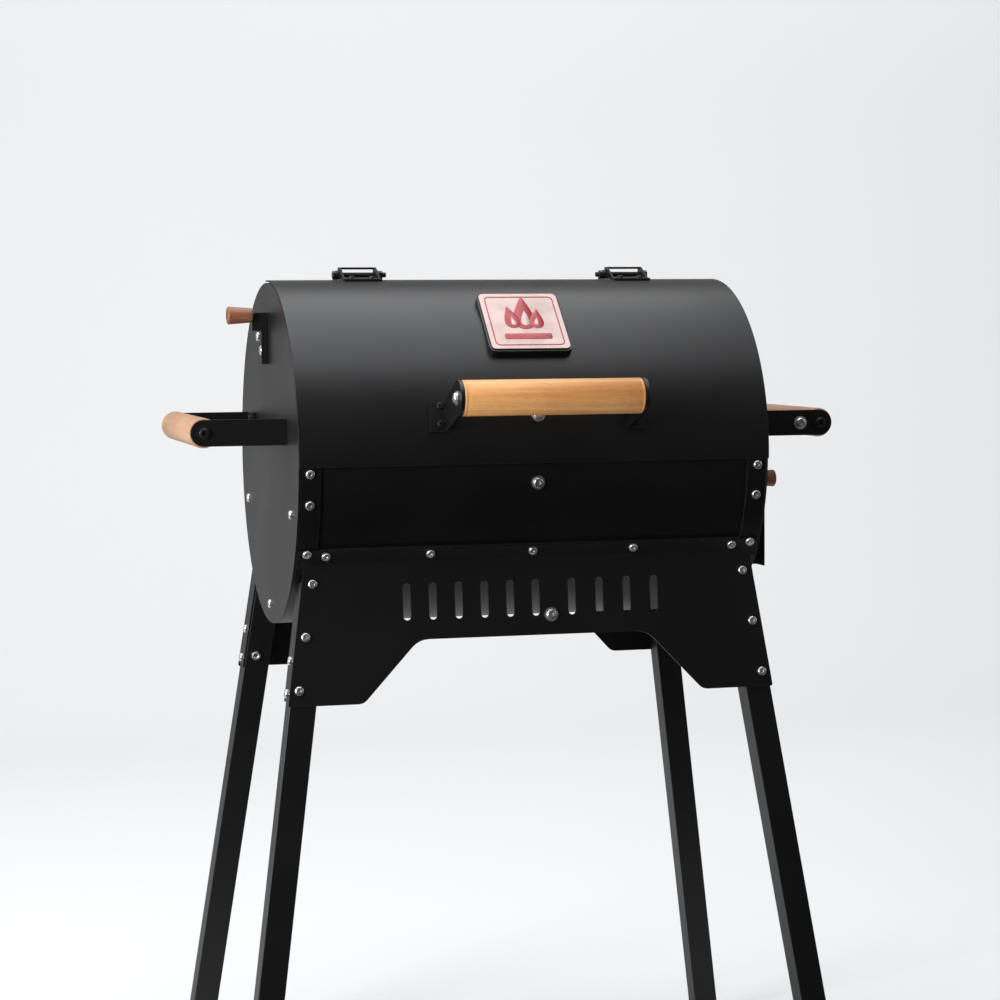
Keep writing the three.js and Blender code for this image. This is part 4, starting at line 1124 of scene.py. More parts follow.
class Finishes:
    """Every material of the smoker, built once."""

    def __init__(self, drum: Drum) -> None:
        """Builds the shared groups and then the materials.

        Args:
            drum: The drum, inside which the coat is sooty.
        """
        groups = SharedGroups()
        low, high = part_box("lid_handle_grip")
        coat = "black_powder_coat"
        self.coat = PowderCoat(coat, groups, drum, drum.radius - 1.0 * MM).make()
        self.panel_coat = PowderCoat(f"{coat}_panel", groups, drum, drum.radius - 3.3 * MM).make()
        self.lid_coat = PowderCoat(f"{coat}_lid", groups, drum, drum.lid_radius - 0.9 * MM, 0.015).make()
        black, brown = (0.02, 0.02, 0.022, 1), (0.035, 0.03, 0.028, 1)
        self.black_metal = PlainMetal("blackened_steel", groups, black, brown, 0.36, metallic=0.6).make()
        bright, grey = (0.92, 0.92, 0.92, 1), (0.66, 0.66, 0.65, 1)
        self.zinc = PlainMetal("bright_zinc", groups, bright, grey, 0.3, 0.35).make()
        steel, rust = (0.42, 0.42, 0.43, 1), (0.16, 0.13, 0.11, 1)
        self.bare_steel = PlainMetal("bare_sheet_steel", groups, steel, rust, 0.36, 0.4, 0.35, 1200.0).make()
        rosy, dim = (0.40, 0.31, 0.29, 1), (0.30, 0.225, 0.205, 1)
        self.badge_steel = PlainMetal("brushed_badge_steel", groups, rosy, dim, 0.4, 0.35, 0.4, 2600.0).make()
        self.grate = SeasonedSteel("seasoned_grate_steel", groups).make()
        self.plastic = MouldedPlastic("foot_plastic", groups).make()
        self.enamel = Enamel("red_enamel", groups).make()
        self.paper = StudioPaper("studio_paper", groups).make()
        self.flag = StudioPaper("studio_flag", groups, (0.006, 0.006, 0.006, 1), 0.0).make()
        self.beech = TurnedWood(
            "oiled_beech",
            groups,
            Grain.X,
            light=(0.80, 0.44, 0.165, 1),
            dark=(0.56, 0.235, 0.065, 1),
            ray=(0.32, 0.115, 0.03, 1),
            contrast=0.85,
            centre=tuple((low + high) / 2),
        ).make()
        self.pale_beech = TurnedWood(
            "pale_oiled_beech",
            groups,
            Grain.Y,
            light=(0.60, 0.37, 0.23, 1),
            dark=(0.40, 0.21, 0.12, 1),
            ray=(0.26, 0.12, 0.06, 1),
            contrast=0.7,
        ).make()
        self.knob_wood = TurnedWood(
            "reddish_turned_wood",
            groups,
            Grain.X,
            light=(0.32, 0.125, 0.056, 1),
            dark=(0.20, 0.065, 0.028, 1),
            ray=(0.12, 0.036, 0.017, 1),
            contrast=0.9,
            roughness=0.42,
        ).make()


# ---------------------------------------------------------------- sheet parts


@dataclass(frozen=True)
class SheetPart:
    """A packed sheet or bar piece that keeps its shape and gains rounded edges."""

    node: str
    body: Body
    slot: str
    edge: float
    segments: int = 2
    bevel_deg: float = 34.0
    smooth_deg: float = 32.0
    flatness: int = 80

    def build(self, material: Material) -> Piece:
        """Copies, bevels and dresses the piece.

        Args:
            material: The piece's material.

        Returns:
            The finished piece.
        """
        piece = Bench.copy_node(self.node, f"{self.node}_finished")
        Bench.bevel(piece, self.edge, self.segments, self.bevel_deg)
        Bench.smooth(piece, self.smooth_deg)
        Bench.modify(piece, "WEIGHTED_NORMAL", keep_sharp=True, weight=self.flatness)
        return Bench.hand_over(piece, self.body, self.slot, material, [self.node])


@dataclass(frozen=True)
class SheetMetal:
    """All of the folded, rolled and cut steel."""

    drum_parts: tuple[str, ...] = (
        "drum_shell", "left_end_disc", "right_end_disc", "front_grate_ledge", "rear_grate_ledge",
        "drawer_collar", "drum_hinge_leaf_left", "drum_hinge_leaf_right", "front_stand_plate",
        "rear_stand_plate",
    )
    legs: tuple[str, ...] = ("front_left_leg", "front_right_leg", "rear_left_leg", "rear_right_leg")
    arms: tuple[str, ...] = (
        "left_handle_front_arm", "left_handle_rear_arm", "right_handle_front_arm", "right_handle_rear_arm",
    )
    lid_parts: tuple[str, ...] = (
        "lid_shell", "lid_handle_bracket_left", "lid_handle_bracket_right", "lid_hinge_leaf_left",
        "lid_hinge_leaf_right", "badge_back",
    )
    edge: float = 0.4 * MM
    leg_edge: float = 1.6 * MM
    thin_edge: float = 0.3 * MM
    pin_edge: float = 0.6 * MM
    cap_edge: float = 1.2 * MM

    def build(self, finishes: Finishes) -> None:
        """Builds every sheet piece.

        Args:
            finishes: The materials.
        """
        coat, bare = finishes.coat, finishes.bare_steel
        for nodes, edge in ((self.drum_parts, self.edge), (self.legs, self.leg_edge), (self.arms, self.edge)):
            for node in nodes:
                SheetPart(node, Body.FRAME, "black_coat", edge, 3).build(coat)
        SheetPart("front_panel", Body.FRAME, "black_coat", self.edge, 3).build(finishes.panel_coat)
        for node in self.lid_parts:
            SheetPart(node, Body.LID, "black_coat", self.edge, 3).build(finishes.lid_coat)
        SheetPart("damper_plate", Body.DAMPER, "black_coat", self.edge).build(coat)
        SheetPart("drawer_front", Body.DRAWER, "black_coat", self.edge, 3).build(coat)
        SheetPart("drawer_knob_bracket", Body.DRAWER, "black_coat", self.edge).build(coat)
        SheetPart("drawer_tray", Body.DRAWER, "bare_steel", self.thin_edge).build(bare)
        for depth in Depth:
            SheetPart(f"{depth.word}_drawer_rail", Body.FRAME, "bare_steel", self.thin_edge).build(bare)
        for side in Side:
            pin = SheetPart(f"hinge_pin_{side.word}", Body.FRAME, "black_coat", self.pin_edge, 3)
            pin.build(finishes.black_metal)
            for depth in Depth:
                cap = f"{depth.word}_{side.word}_foot_cap"
                SheetPart(cap, Body.FRAME, "foot_plastic", self.cap_edge, 3).build(finishes.plastic)


# ---------------------------------------------------------------- turned wood


@dataclass(frozen=True)
class TurnedGrip:
    """A round wooden grip with rounded ends and a turned groove near each end."""

    node: str
    body: Body
    slot: str
    grain: Grain
    sides: int = 72
    end_round: float = 1.8 * MM
    groove_in: float = 3.4 * MM
    groove_width: float = 0.6 * MM
    groove_depth: float = 0.4 * MM
    edge: float = 0.25 * MM

    def build(self, material: Material) -> Piece:
        """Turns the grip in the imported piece's place.

        Args:
            material: The wood.

        Returns:
            The finished grip.
        """
        low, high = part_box(self.node)
        index = self.grain.value
        middle = (low + high) / 2
        half = (high[index] - low[index]) / 2
        radius = min(high[i] - low[i] for i in range(3) if i != index) / 2
        turn = (0, math.pi / 2, 0) if self.grain is Grain.X else (math.pi / 2, 0, 0)
        grip = Bench.cylinder(self.sides, radius, 2 * half, middle, turn)
        grip.name = f"{self.node}_turned"
        along = Vector((0, 0, 0))
        along[index] = 1
        outer = half - self.groove_in
        inner = outer - self.groove_width
        for station in (-outer, -inner, outer, inner):
            with Bench.editing(grip):
                bpy.ops.mesh.bisect(plane_co=middle + along * station, plane_no=along)

        def off_middle(face: bpy.types.MeshPolygon) -> float:
            """A face's distance from the grip's middle, along it."""
            return abs(face.center[index] - middle[index])

        with Bench.editing(grip, Pick.FACE, lambda face: inner < off_middle(face) < outer):
            sink = {"value": -self.groove_depth, "use_even_offset": False}
            bpy.ops.mesh.extrude_region_shrink_fatten(TRANSFORM_OT_shrink_fatten=sink)
        with Bench.editing(grip, Pick.FACE, lambda face: off_middle(face) > half - TOUCH):
            bpy.ops.mesh.bevel(offset=self.end_round, segments=5, affect="EDGES", offset_type="OFFSET")
        Bench.bevel(grip, self.edge, 2, CORNER_DEG)
        Bench.smooth(grip, ROUND_DEG)
        return Bench.hand_over(grip, self.body, self.slot, material, [self.node])


@dataclass(frozen=True)
class TurnedKnob:
    """A small wooden knob that swells towards its dished end."""

    node: str
    body: Body
    sides: int = 48
    foot_share: float = 0.8
    rings: tuple[float, ...] = (0.15, 0.3, 0.62, 0.86)
    rim: float = 2.2 * MM
    dish: float = 1.2 * MM
    dish_inset: float = 3.2 * MM
    edge: float = 0.3 * MM

    def build(self, material: Material) -> Piece:
        """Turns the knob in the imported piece's place.

        Args:
            material: The wood.

        Returns:
            The finished knob.
        """
        low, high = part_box(self.node)
        middle = (low + high) / 2
        length = high.x - low.x
        way = 1 if middle.x > 0 else -1
        outer = (high.z - low.z) / 2
        Bench.clear_selection()
        bpy.ops.mesh.primitive_cone_add(
            vertices=self.sides,
            radius1=outer * self.foot_share,
            radius2=outer,
            depth=length,
            location=middle,
            rotation=(0, way * math.pi / 2, 0),
        )
        knob = bpy.context.object
        knob.name = f"{self.node}_turned"
        Bench.settle(knob)
        for share in self.rings:
            with Bench.editing(knob):
                station = middle + Vector((way * (share - 0.5) * length, 0, 0))
                bpy.ops.mesh.bisect(plane_co=station, plane_no=(1, 0, 0))
        far = middle.x + way * length / 2
        with Bench.editing(knob, Pick.FACE, lambda face: abs(face.center.x - far) < TOUCH):
            bpy.ops.mesh.bevel(offset=self.rim, segments=5, affect="EDGES")
        with Bench.editing(knob, Pick.FACE, lambda face: abs(face.center.x - far) < TOUCH):
            bpy.ops.mesh.inset(thickness=self.dish_inset)
            bpy.ops.mesh.extrude_region_move(TRANSFORM_OT_translate={"value": (-way * self.dish, 0, 0)})
        Bench.bevel(knob, self.edge, 2, CORNER_DEG)
        Bench.smooth(knob, ROUND_DEG)
        return Bench.hand_over(knob, self.body, "reddish_wood", material, [self.node])


# ---------------------------------------------------------------- grates


@dataclass(frozen=True)
class CookingGrate:
    """Half of the cooking grate: a bent round bar with welded rods."""

    side: Side
    rods: int = 15
    bar_radius: float = 3.0 * MM
    rod_radius: float = 2.0 * MM
    cross_radius: float = 2.4 * MM
    cross_drop: float = 0.4 * MM
    corner: float = 14 * MM
    rod_sides: int = 12
    end_share: float = 0.35
    smooth_deg: float = 45.0

    def _frame_bar(self, low: Vector, high: Vector) -> Piece:
        """Bends the outer bar.

        Args:
            low: The grate's lowest corner.
            high: Its highest corner.

        Returns:
            The bar as a mesh.
        """
        size = high - low - Vector((1, 1, 0)) * 2 * self.bar_radius
        with Bench.editing(Bench.rectangle(size.x, size.y, (low + high) / 2)):
            bpy.ops.mesh.bevel(offset=self.corner, segments=6, affect="VERTICES")
            bpy.ops.mesh.delete(type="ONLY_FACE")
        bpy.ops.object.convert(target="CURVE")
        bar = bpy.context.object
        bar.data.bevel_depth = self.bar_radius
        bar.data.bevel_resolution = 3
        bpy.ops.object.convert(target="MESH")
        return bpy.context.object

    def _rod(self, start: Vector, end: Vector, radius: float) -> Piece:
        """Makes one straight rod with rounded ends.

        Args:
            start: One end.
            end: The other end.
            radius: The rod's radius.

        Returns:
            The rod.
        """
        way = end - start
        rod = Bench.cylinder(self.rod_sides, radius, way.length)
        rod.data.transform(Bench.facing((start + end) / 2, way.normalized()))
        Bench.bevel(rod, radius * self.end_share, 2, CORNER_DEG)
        return rod

    def build(self, material: Material) -> Piece:
        """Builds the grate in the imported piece's place.

        Args:
            material: The steel.

        Returns:
            The finished grate.
        """
        node = f"{self.side.word}_cooking_grate"
        low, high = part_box(node)
        height = (low.z + high.z) / 2
        left, right = low.x + self.bar_radius, high.x - self.bar_radius
        front, rear = low.y + self.bar_radius, high.y - self.bar_radius
        pitch = (right - left) / (self.rods + 1)
        bar = self._frame_bar(low, high)
        start, end = Vector((left + pitch, front, height)), Vector((left + pitch, rear, height))
        first = self._rod(start, end, self.rod_radius)
        others = [Bench.copy(first, Matrix.Translation((pitch * i, 0, 0))) for i in range(1, self.rods)]
        centre, lower = (low.y + high.y) / 2, height - self.cross_drop
        cross = self._rod(Vector((left, centre, lower)), Vector((right, centre, lower)), self.cross_radius)
        grate = Bench.join([bar, first, *others, cross], f"{node}_rods")
        Bench.smooth(grate, self.smooth_deg)
        return Bench.hand_over(grate, Body.FRAME, "grate_steel", material, [node])


# ---------------------------------------------------------------- screws


class HeadStyle(Enum):
    """The kinds of fastener."""

    BUTTON = "button"
    FLANGED = "flanged"
    SMALL = "small"
    NUT = "nut"


@dataclass(frozen=True)
class Head:
    """The sizes of one kind of fastener head."""

    style: HeadStyle
    radius: float
    height: float
    socket: float
    flange_radius: float = 0.0
    flange_height: float = 0.0
    sides: int = 28
    nut_hole_sides: int = 16
    nut_edge: float = 0.4 * MM
    socket_depth: float = 0.6
    crown_across: float = 0.34
    crown_down: float = 0.55
    smooth_deg: float = 30.0

    def _crown(self) -> Piece:
        """Raises the head from a flat disc along +Z, its seat at the origin.

        Returns:
            The head, without its socket.
        """
        base = self.flange_height or self.height
        head = Bench.cylinder(self.sides, max(self.radius, self.flange_radius), base, (0, 0, base / 2))
        if self.flange_radius:
            with Bench.editing(head, Pick.FACE, lambda face: face.center.z > base - TOUCH):
                bpy.ops.mesh.inset(thickness=self.flange_radius - self.radius)
                rise = {"value": (0, 0, self.height - self.flange_height)}
                bpy.ops.mesh.extrude_region_move(TRANSFORM_OT_translate=rise)
        with Bench.editing(head, Pick.FACE, lambda face: face.center.z > self.height - TOUCH):
            rounding = min(self.radius * self.crown_across, self.height * self.crown_down)
            bpy.ops.mesh.bevel(offset=rounding, segments=4, affect="EDGES")
        return head

    def make(self) -> Piece:
        """Models the head once.

        Returns:
            The template, seated on the origin and facing +Z.
        """
        is_nut = self.style is HeadStyle.NUT
        if is_nut:
            head = Bench.cylinder(HEX, self.radius, self.height, (0, 0, self.height / 2))
        else:
            head = self._crown()
        head.name = f"{self.style.value}_template"
        cutter_sides = self.nut_hole_sides if is_nut else HEX
        depth = 2 * self.socket_depth * self.height
        cutter = Bench.cylinder(cutter_sides, self.socket, depth, (0, 0, self.height))
        Bench.modify(head, "BOOLEAN", operation="DIFFERENCE", object=cutter, solver="EXACT")
        bpy.data.objects.remove(cutter, do_unlink=True)
        if is_nut:
            Bench.bevel(head, self.nut_edge, 1, ROUND_DEG)
        Bench.smooth(head, self.smooth_deg)
        return head


@dataclass
class Fasteners:
    """Copies modelled heads to their places and joins each group into one piece.

    Places are in millimetres from the drum's middle, and angles in degrees up from its front.
    """

    drum: Drum
    stand: StandPlane
    finishes: Finishes
    kinds: tuple[Head, ...] = (
        Head(HeadStyle.BUTTON, 5.2 * MM, 3.0 * MM, 2.4 * MM),
        Head(HeadStyle.FLANGED, 6.1 * MM, 4.4 * MM, 2.9 * MM, 8.0 * MM, 1.3 * MM),
        Head(HeadStyle.SMALL, 3.9 * MM, 2.3 * MM, 1.7 * MM),
        Head(HeadStyle.NUT, 5.8 * MM, 4.6 * MM, 3.0 * MM),
    )
    band_x: float = 262
    band_angles: tuple[float, ...] = (-4.1, -14.2, 108.0, 142.0, 176.0)
    disc_spots: tuple[tuple[float, float], ...] = ((-150, -62), (150, -62), (0, -178))
    flange_spots: tuple[tuple[float, float], ...] = (
        (0, 2.3), (-120, 2.3), (120, 2.3), (-240, 2.3), (240, 2.3), (-262, 6.1), (262, 6.1),
    )
    face_spots: tuple[tuple[float, float], ...] = ((255.0, 21.6), (264.8, 80.8), (274.0, 140.3))
    edge_drops: tuple[float, ...] = (106.6, 142.9)
    edge_behind: float = 17
    nut_spot: tuple[float, float, float] = (270.0, 137.0, 32.6)
    grip_foot_x: float = 114
    grip_foot_radius: float = 206.3
    grip_foot_angles: tuple[float, ...] = (10.9, 16.6)
    hinge_x: float = 165
    hinge_sheet: float = 2.8
    lid_leaf_angle: float = 84.6
    lid_leaf_shift: float = 12
    drum_leaf_angle: float = 101.0
    drum_leaf_shift: float = 15
    arm_y: float = 107
    arm_heights: tuple[float, ...] = (22.5, 37.5)
    arm_proud: float = 4.3
    big_head: float = 4.5
    crown_depth: float = 0.2
    lid_bolt_angle: float = 13.5
    ledge_bolt_angle: float = -8.5
    bracket_y: float = 12
    bracket_foot: float = 6
    damper_drops: tuple[float, ...] = (25.0,)
    drawer_drops: tuple[float, ...] = (25.0, 41.0)
    hook_bolt: tuple[float, float, float] = (343.5, -125, 30)
    spin_step: float = 37.0
    spin: float = 0.0
    templates: dict[HeadStyle, Piece] = field(default_factory=dict)

    def place(
        self,
        name: str,
        style: HeadStyle,
        body: Body,
        seats: Sequence[Seat],
        black: bool = False,
        replaces: Iterable[str] = (),
    ) -> Piece:
        """Sets one kind of head on several seats.

        Args:
            name: The joined piece's name.
            style: The kind of head.
            body: The body that the heads ride on.
            seats: Each seat's point and outward direction.
            black: Whether the heads are blackened.
            replaces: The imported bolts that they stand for.

        Returns:
            The joined piece.
        """
        copies = []
        for point, outward in seats:
            self.spin += self.spin_step
            copies.append(Bench.copy(self.templates[style], Bench.facing(point, outward, self.spin)))
        material = self.finishes.black_metal if black else self.finishes.zinc
        slot = "black_coat" if black else "zinc_steel"
        return Bench.hand_over(Bench.join(copies, name), body, slot, material, replaces)

    def place_big(self, node: str, body: Body, outward: Vector, black: bool = False) -> None:
        """Sets a flanged head in a packed bolt's place.

        Args:
            node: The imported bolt.
            body: The body that it rides on.
            outward: The way its head faces.
            black: Whether it is blackened.
        """
        points = [vertex.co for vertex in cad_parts[node].data.vertices]
        reach = max(point.dot(outward) for point in points)
        crown = [point for point in points if point.dot(outward) > reach - self.crown_depth * MM]
        seat = sum(crown, Vector()) / len(crown) - outward * self.big_head * MM
        self.place(f"{node}_flanged", HeadStyle.FLANGED, body, [(seat, outward)], black, [node])

    def build_drum_screws(self) -> None:
        """The bright screws of the shell's bands, the end discs and the shell's rear."""
        drum = self.drum
        bands = [
            (drum.point(side.value * self.band_x * MM, angle, drum.radius), drum.normal(angle))
            for side in Side
            for angle in self.band_angles
        ]
        self.place("drum_band_screws", HeadStyle.BUTTON, Body.FRAME, bands)
        discs = [
            (drum.end_point(side, y * MM, z * MM), Vector((side.value, 0, 0)))
            for side in Side
            for y, z in self.disc_spots
        ]
        self.place("end_disc_screws", HeadStyle.BUTTON, Body.FRAME, discs)

    def build_stand_screws(self, depth: Depth) -> None:
        """The bright screws of one stand plate, and the nuts behind them.

        Args:
            depth: The plate.
        """
        stand = self.stand

        def seat(point: Vector, outward: Vector) -> Seat:
            """A seat of the front plate, carried to this plate."""
            return stand.mirrored(point, depth), stand.turned(outward, depth)

        flange_out = self.drum.normal(stand.flange_mid_deg)
        flange = [seat(stand.flange_point(x * MM, along * MM), flange_out) for x, along in self.flange_spots]
        face, nuts = [], []
        for side in Side:
            for x, drop in self.face_spots:
                face.append(seat(stand.face_point(side.value * x * MM, drop * MM), stand.outward))
            for drop in self.edge_drops:
                x = side.value * stand.half_width(drop * MM)
                spot = stand.face_point(x, drop * MM, self.edge_behind * MM)
                face.append(seat(spot, stand.edge_normal(side)))
            x, drop, behind = (size * MM for size in self.nut_spot)
            nuts.append(seat(stand.face_point(side.value * x, drop, behind), stand.outward * -1))
        self.place(f"{depth.word}_stand_flange_screws", HeadStyle.BUTTON, Body.FRAME, flange)
        self.place(f"{depth.word}_stand_face_screws", HeadStyle.BUTTON, Body.FRAME, face)
        self.place(f"{depth.word}_leg_nuts", HeadStyle.NUT, Body.FRAME, nuts)

    def _paired(self, x: float, shift: float, angle: float, radius: float) -> list[Seat]:
        """Seats on the drum in pairs along it, at both ends.

        Args:
            x: The pair's middle, from the drum's middle.
            shift: Each screw's distance from the pair's middle.
            angle: The angle up from the front.
            radius: The distance from the axis, in metres.

        Returns:
            The seats.
        """
        return [
            (self.drum.point(side.value * (x + step) * MM, angle, radius), self.drum.normal(angle))
            for side in Side
            for step in (-shift, shift)
        ]

    def build_handle_screws(self) -> None:
        """The black screws of the lid grip's feet, the side arms and the hinges."""
        drum, sheet = self.drum, self.hinge_sheet * MM
        foot_x, foot_radius = self.grip_foot_x * MM, self.grip_foot_radius * MM
        lid = [
            (drum.point(side.value * foot_x, angle, foot_radius), drum.normal(angle))
            for side in Side
            for angle in self.grip_foot_angles
        ]
        lid += self._paired(self.hinge_x, self.lid_leaf_shift, self.lid_leaf_angle, drum.lid_radius + sheet)
        self.place("lid_black_screws", HeadStyle.SMALL, Body.LID, lid, black=True)
        fixed = self._paired(self.hinge_x, self.drum_leaf_shift, self.drum_leaf_angle, drum.radius + sheet)
        for side in Side:
            for depth in Depth:
                for z in self.arm_heights:
                    spot = drum.end_point(side, depth.value * self.arm_y * MM, z * MM, self.arm_proud * MM)
                    fixed.append((spot, Vector((side.value, 0, 0))))
        self.place("frame_black_screws", HeadStyle.SMALL, Body.FRAME, fixed, black=True)

    def _bracket_seats(self, node: str, body: Body, drops: Sequence[float]) -> list[Seat]:
        """The seats of a knob bracket's bolts, under its knob.

        Args:
            node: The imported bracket.
            body: The body that it rides on.
            drops: Each bolt's distance below the knob's axis.

        Returns:
            The seats.
        """
        low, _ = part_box(node)
        knob_low, knob_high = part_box(f"{body.value}_knob")
        way = 1 if knob_low.x > 0 else -1
        top = low.z + self.bracket_foot * MM
        foot = max(v.co.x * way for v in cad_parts[node].data.vertices if v.co.z < top)
        knob_z, y = (knob_low.z + knob_high.z) / 2, self.drum.axis_y + self.bracket_y * MM
        return [(Vector((way * foot, y, knob_z - drop * MM)), Vector((way, 0, 0))) for drop in drops]

    def build_bolts(self) -> None:
        """The large bolts, each in its packed bolt's place, and the knob brackets' small ones."""
        ledge = self.drum.normal(self.ledge_bolt_angle)
        self.place_big("lid_centre_bolt", Body.LID, self.drum.normal(self.lid_bolt_angle))
        self.place_big("front_ledge_bolt", Body.FRAME, ledge)
        self.place_big("rear_ledge_bolt", Body.FRAME, Vector((ledge.x, -ledge.y, ledge.z)))
        self.place_big("front_stand_bolt", Body.FRAME, self.stand.outward)
        self.place_big("damper_pivot_bolt", Body.FRAME, Vector((-1, 0, 0)))
        for side in Side:
            self.place_big(f"lid_handle_bolt_{side.word}", Body.LID, Vector((side.value, 0, 0)))
            for depth in Depth:
                node = f"{side.word}_handle_{depth.word}_bolt"
                self.place_big(node, Body.FRAME, Vector((0, depth.value, 0)), black=True)
        for node, body, drops in (
            ("damper_plate", Body.DAMPER, self.damper_drops),
            ("drawer_knob_bracket", Body.DRAWER, self.drawer_drops),
        ):
            self.place(f"{node}_bolts", HeadStyle.BUTTON, body, self._bracket_seats(node, body, drops))
        x, y, z = (size * MM for size in self.hook_bolt)
        hook = Vector((x, self.drum.axis_y + y, self.drum.axis_z + z))
        self.place("handle_hook_bolt", HeadStyle.FLANGED, Body.FRAME, [(hook, Vector((0, -1, 0)))])

    def build(self) -> None:
        """Models each kind of head once, places every fastener, and removes the templates."""
        for head in self.kinds:
            self.templates[head.style] = head.make()
        self.build_drum_screws()
        for depth in Depth:
            self.build_stand_screws(depth)
        self.build_handle_screws()
        self.build_bolts()
        for template in self.templates.values():
            bpy.data.objects.remove(template, do_unlink=True)


# ---------------------------------------------------------------- badge


@dataclass(frozen=True)
class Tongue:
    """One tongue of flame: a disc whose top is drawn up to a leaning point, in millimetres."""

    x: float
    y: float
    radius: float
    rise: float
    lean: float
    sides: int = 48
    pull: float = 1.9

    def build(self) -> Piece:
        """Draws the tongue flat.

        Returns:
            The tongue.
        """
        Bench.clear_selection()
        radius = self.radius * MM
        bpy.ops.mesh.primitive_circle_add(
            vertices=self.sides, radius=radius, fill_type="NGON", location=(self.x * MM, self.y * MM, 0)
        )
        tongue = bpy.context.object
        Bench.settle(tongue)
        tip = max(tongue.data.vertices, key=lambda vertex: vertex.co.y).index
        with Bench.editing(tongue, Pick.VERT, lambda vertex: vertex.index == tip):
            bpy.ops.transform.translate(
                value=(self.lean * MM, self.rise * MM, 0),
                use_proportional_edit=True,
                proportional_edit_falloff="SHARP",
                proportional_size=radius * self.pull,
            )
        return tongue


@dataclass(frozen=True)
class Badge:
    """The square plate on the lid: brushed steel, a red border line and a flame over a bar."""

    drum: Drum
    angle: float = 47.5
    border: float = 82 * MM
    border_corner: float = 6 * MM
    line: float = 1.4 * MM
    bar_size: tuple[float, float] = (56 * MM, 9 * MM)
    bar_place: float = -26 * MM
    bar_corner: float = 2.6 * MM
    relief: float = 0.35 * MM
    plate_edge: float = 0.45 * MM
    enamel_edge: float = 0.1 * MM
    smooth_deg: float = 35.0
    step: float = 0.004 * MM
    core_lift: float = 0.6
    flames: tuple[Tongue, ...] = (
        Tongue(0, -1, 13, 30, 4), Tongue(-14, -3, 9, 19, -3), Tongue(14, -4, 8.5, 15, 4),
    )
    cores: tuple[Tongue, ...] = (
        Tongue(1, -3, 5.2, 15, 2), Tongue(-13, -4.5, 2.8, 8, -1.5), Tongue(13.5, -5, 2.6, 7, 2),
    )

    def _mount(self, flats: Sequence[Piece], lifts: Sequence[float], name: str) -> Piece:
        """Gives flat outlines their thickness and carries them onto the badge's face.

        Args:
            flats: The outlines, drawn flat with X right and Y up.
            lifts: How far each one stands off the face.
            name: The joined piece's name.

        Returns:
            The joined piece.
        """
        normal = self.drum.normal(self.angle)
        right = Vector((1, 0, 0))
        axis = Vector((0, self.drum.axis_y, self.drum.axis_z))
        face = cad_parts["badge_face"].data.vertices
        spot = self.drum.point(0, self.angle, max((vertex.co - axis).dot(normal) for vertex in face))
        turn = Matrix((right, normal.cross(right), normal)).transposed().to_4x4()
        placing = Matrix.Translation(spot) @ turn
        for flat, lift in zip(flats, lifts):
            Bench.modify(flat, "SOLIDIFY", thickness=self.relief, offset=1.0)
            Bench.bevel(flat, self.enamel_edge, 2, CORNER_DEG)
            Bench.smooth(flat, self.smooth_deg)
            flat.data.transform(placing @ Matrix.Translation((0, 0, lift)))
        return Bench.join(flats, name)

    def _border(self) -> Piece:
        """The thin line round the face.

        Returns:
            The line, drawn flat.
        """
        piece = Bench.rectangle(self.border, self.border)
        with Bench.editing(piece):
            bpy.ops.mesh.bevel(offset=self.border_corner, segments=8, affect="VERTICES")
            bpy.ops.mesh.select_all(action="SELECT")
            bpy.ops.mesh.inset(thickness=self.line)
            bpy.ops.mesh.delete(type="FACE")
        return piece

    def _bar(self) -> Piece:
        """A plain rounded bar under the flame.

        Returns:
            The bar, drawn flat.
        """
        piece = Bench.rectangle(*self.bar_size, (0, self.bar_place, 0))
        with Bench.editing(piece):
            bpy.ops.mesh.bevel(offset=self.bar_corner, segments=5, affect="VERTICES")
        return piece

    def build(self, finishes: Finishes) -> None:
        """Builds the plate and its enamel.

        Args:
            finishes: The materials.
        """
        steel = finishes.badge_steel
        SheetPart("badge_face", Body.LID, "badge_steel", self.plate_edge, 3).build(steel)
        flats = [self._border(), *(flame.build() for flame in self.flames), self._bar()]
        enamel = self._mount(flats, [index * self.step for index in range(len(flats))], "badge_enamel")
        Bench.hand_over(enamel, Body.LID, "badge_steel", finishes.enamel)
        lift = self.relief * self.core_lift
        tips = [core.build() for core in self.cores]
        cores = self._mount(tips, [lift] * len(tips), "badge_flame_cores")
        Bench.hand_over(cores, Body.LID, "badge_steel", steel)


# ---------------------------------------------------------------- studio


@dataclass(frozen=True)
class SoftLight:
    """One rectangular softbox aimed at a point."""

    name: str
    place: tuple[float, float, float]
    aim: tuple[float, float, float]
    size: tuple[float, float]
    watts: float
    colour: tuple[float, float, float] = (1, 1, 1)

    def build(self) -> None:
        """Adds the light."""
        data = bpy.data.lights.new(self.name, "AREA")
        data.shape = "RECTANGLE"
        data.size, data.size_y = self.size
        data.energy = self.watts
        data.color = self.colour
        lamp = bpy.data.objects.new(self.name, data)
        lamp.location = self.place
        lamp.rotation_euler = (Vector(self.aim) - Vector(self.place)).to_track_quat("-Z", "Y").to_euler()
        lamp.visible_camera = False
        bpy.context.scene.collection.objects.link(lamp)


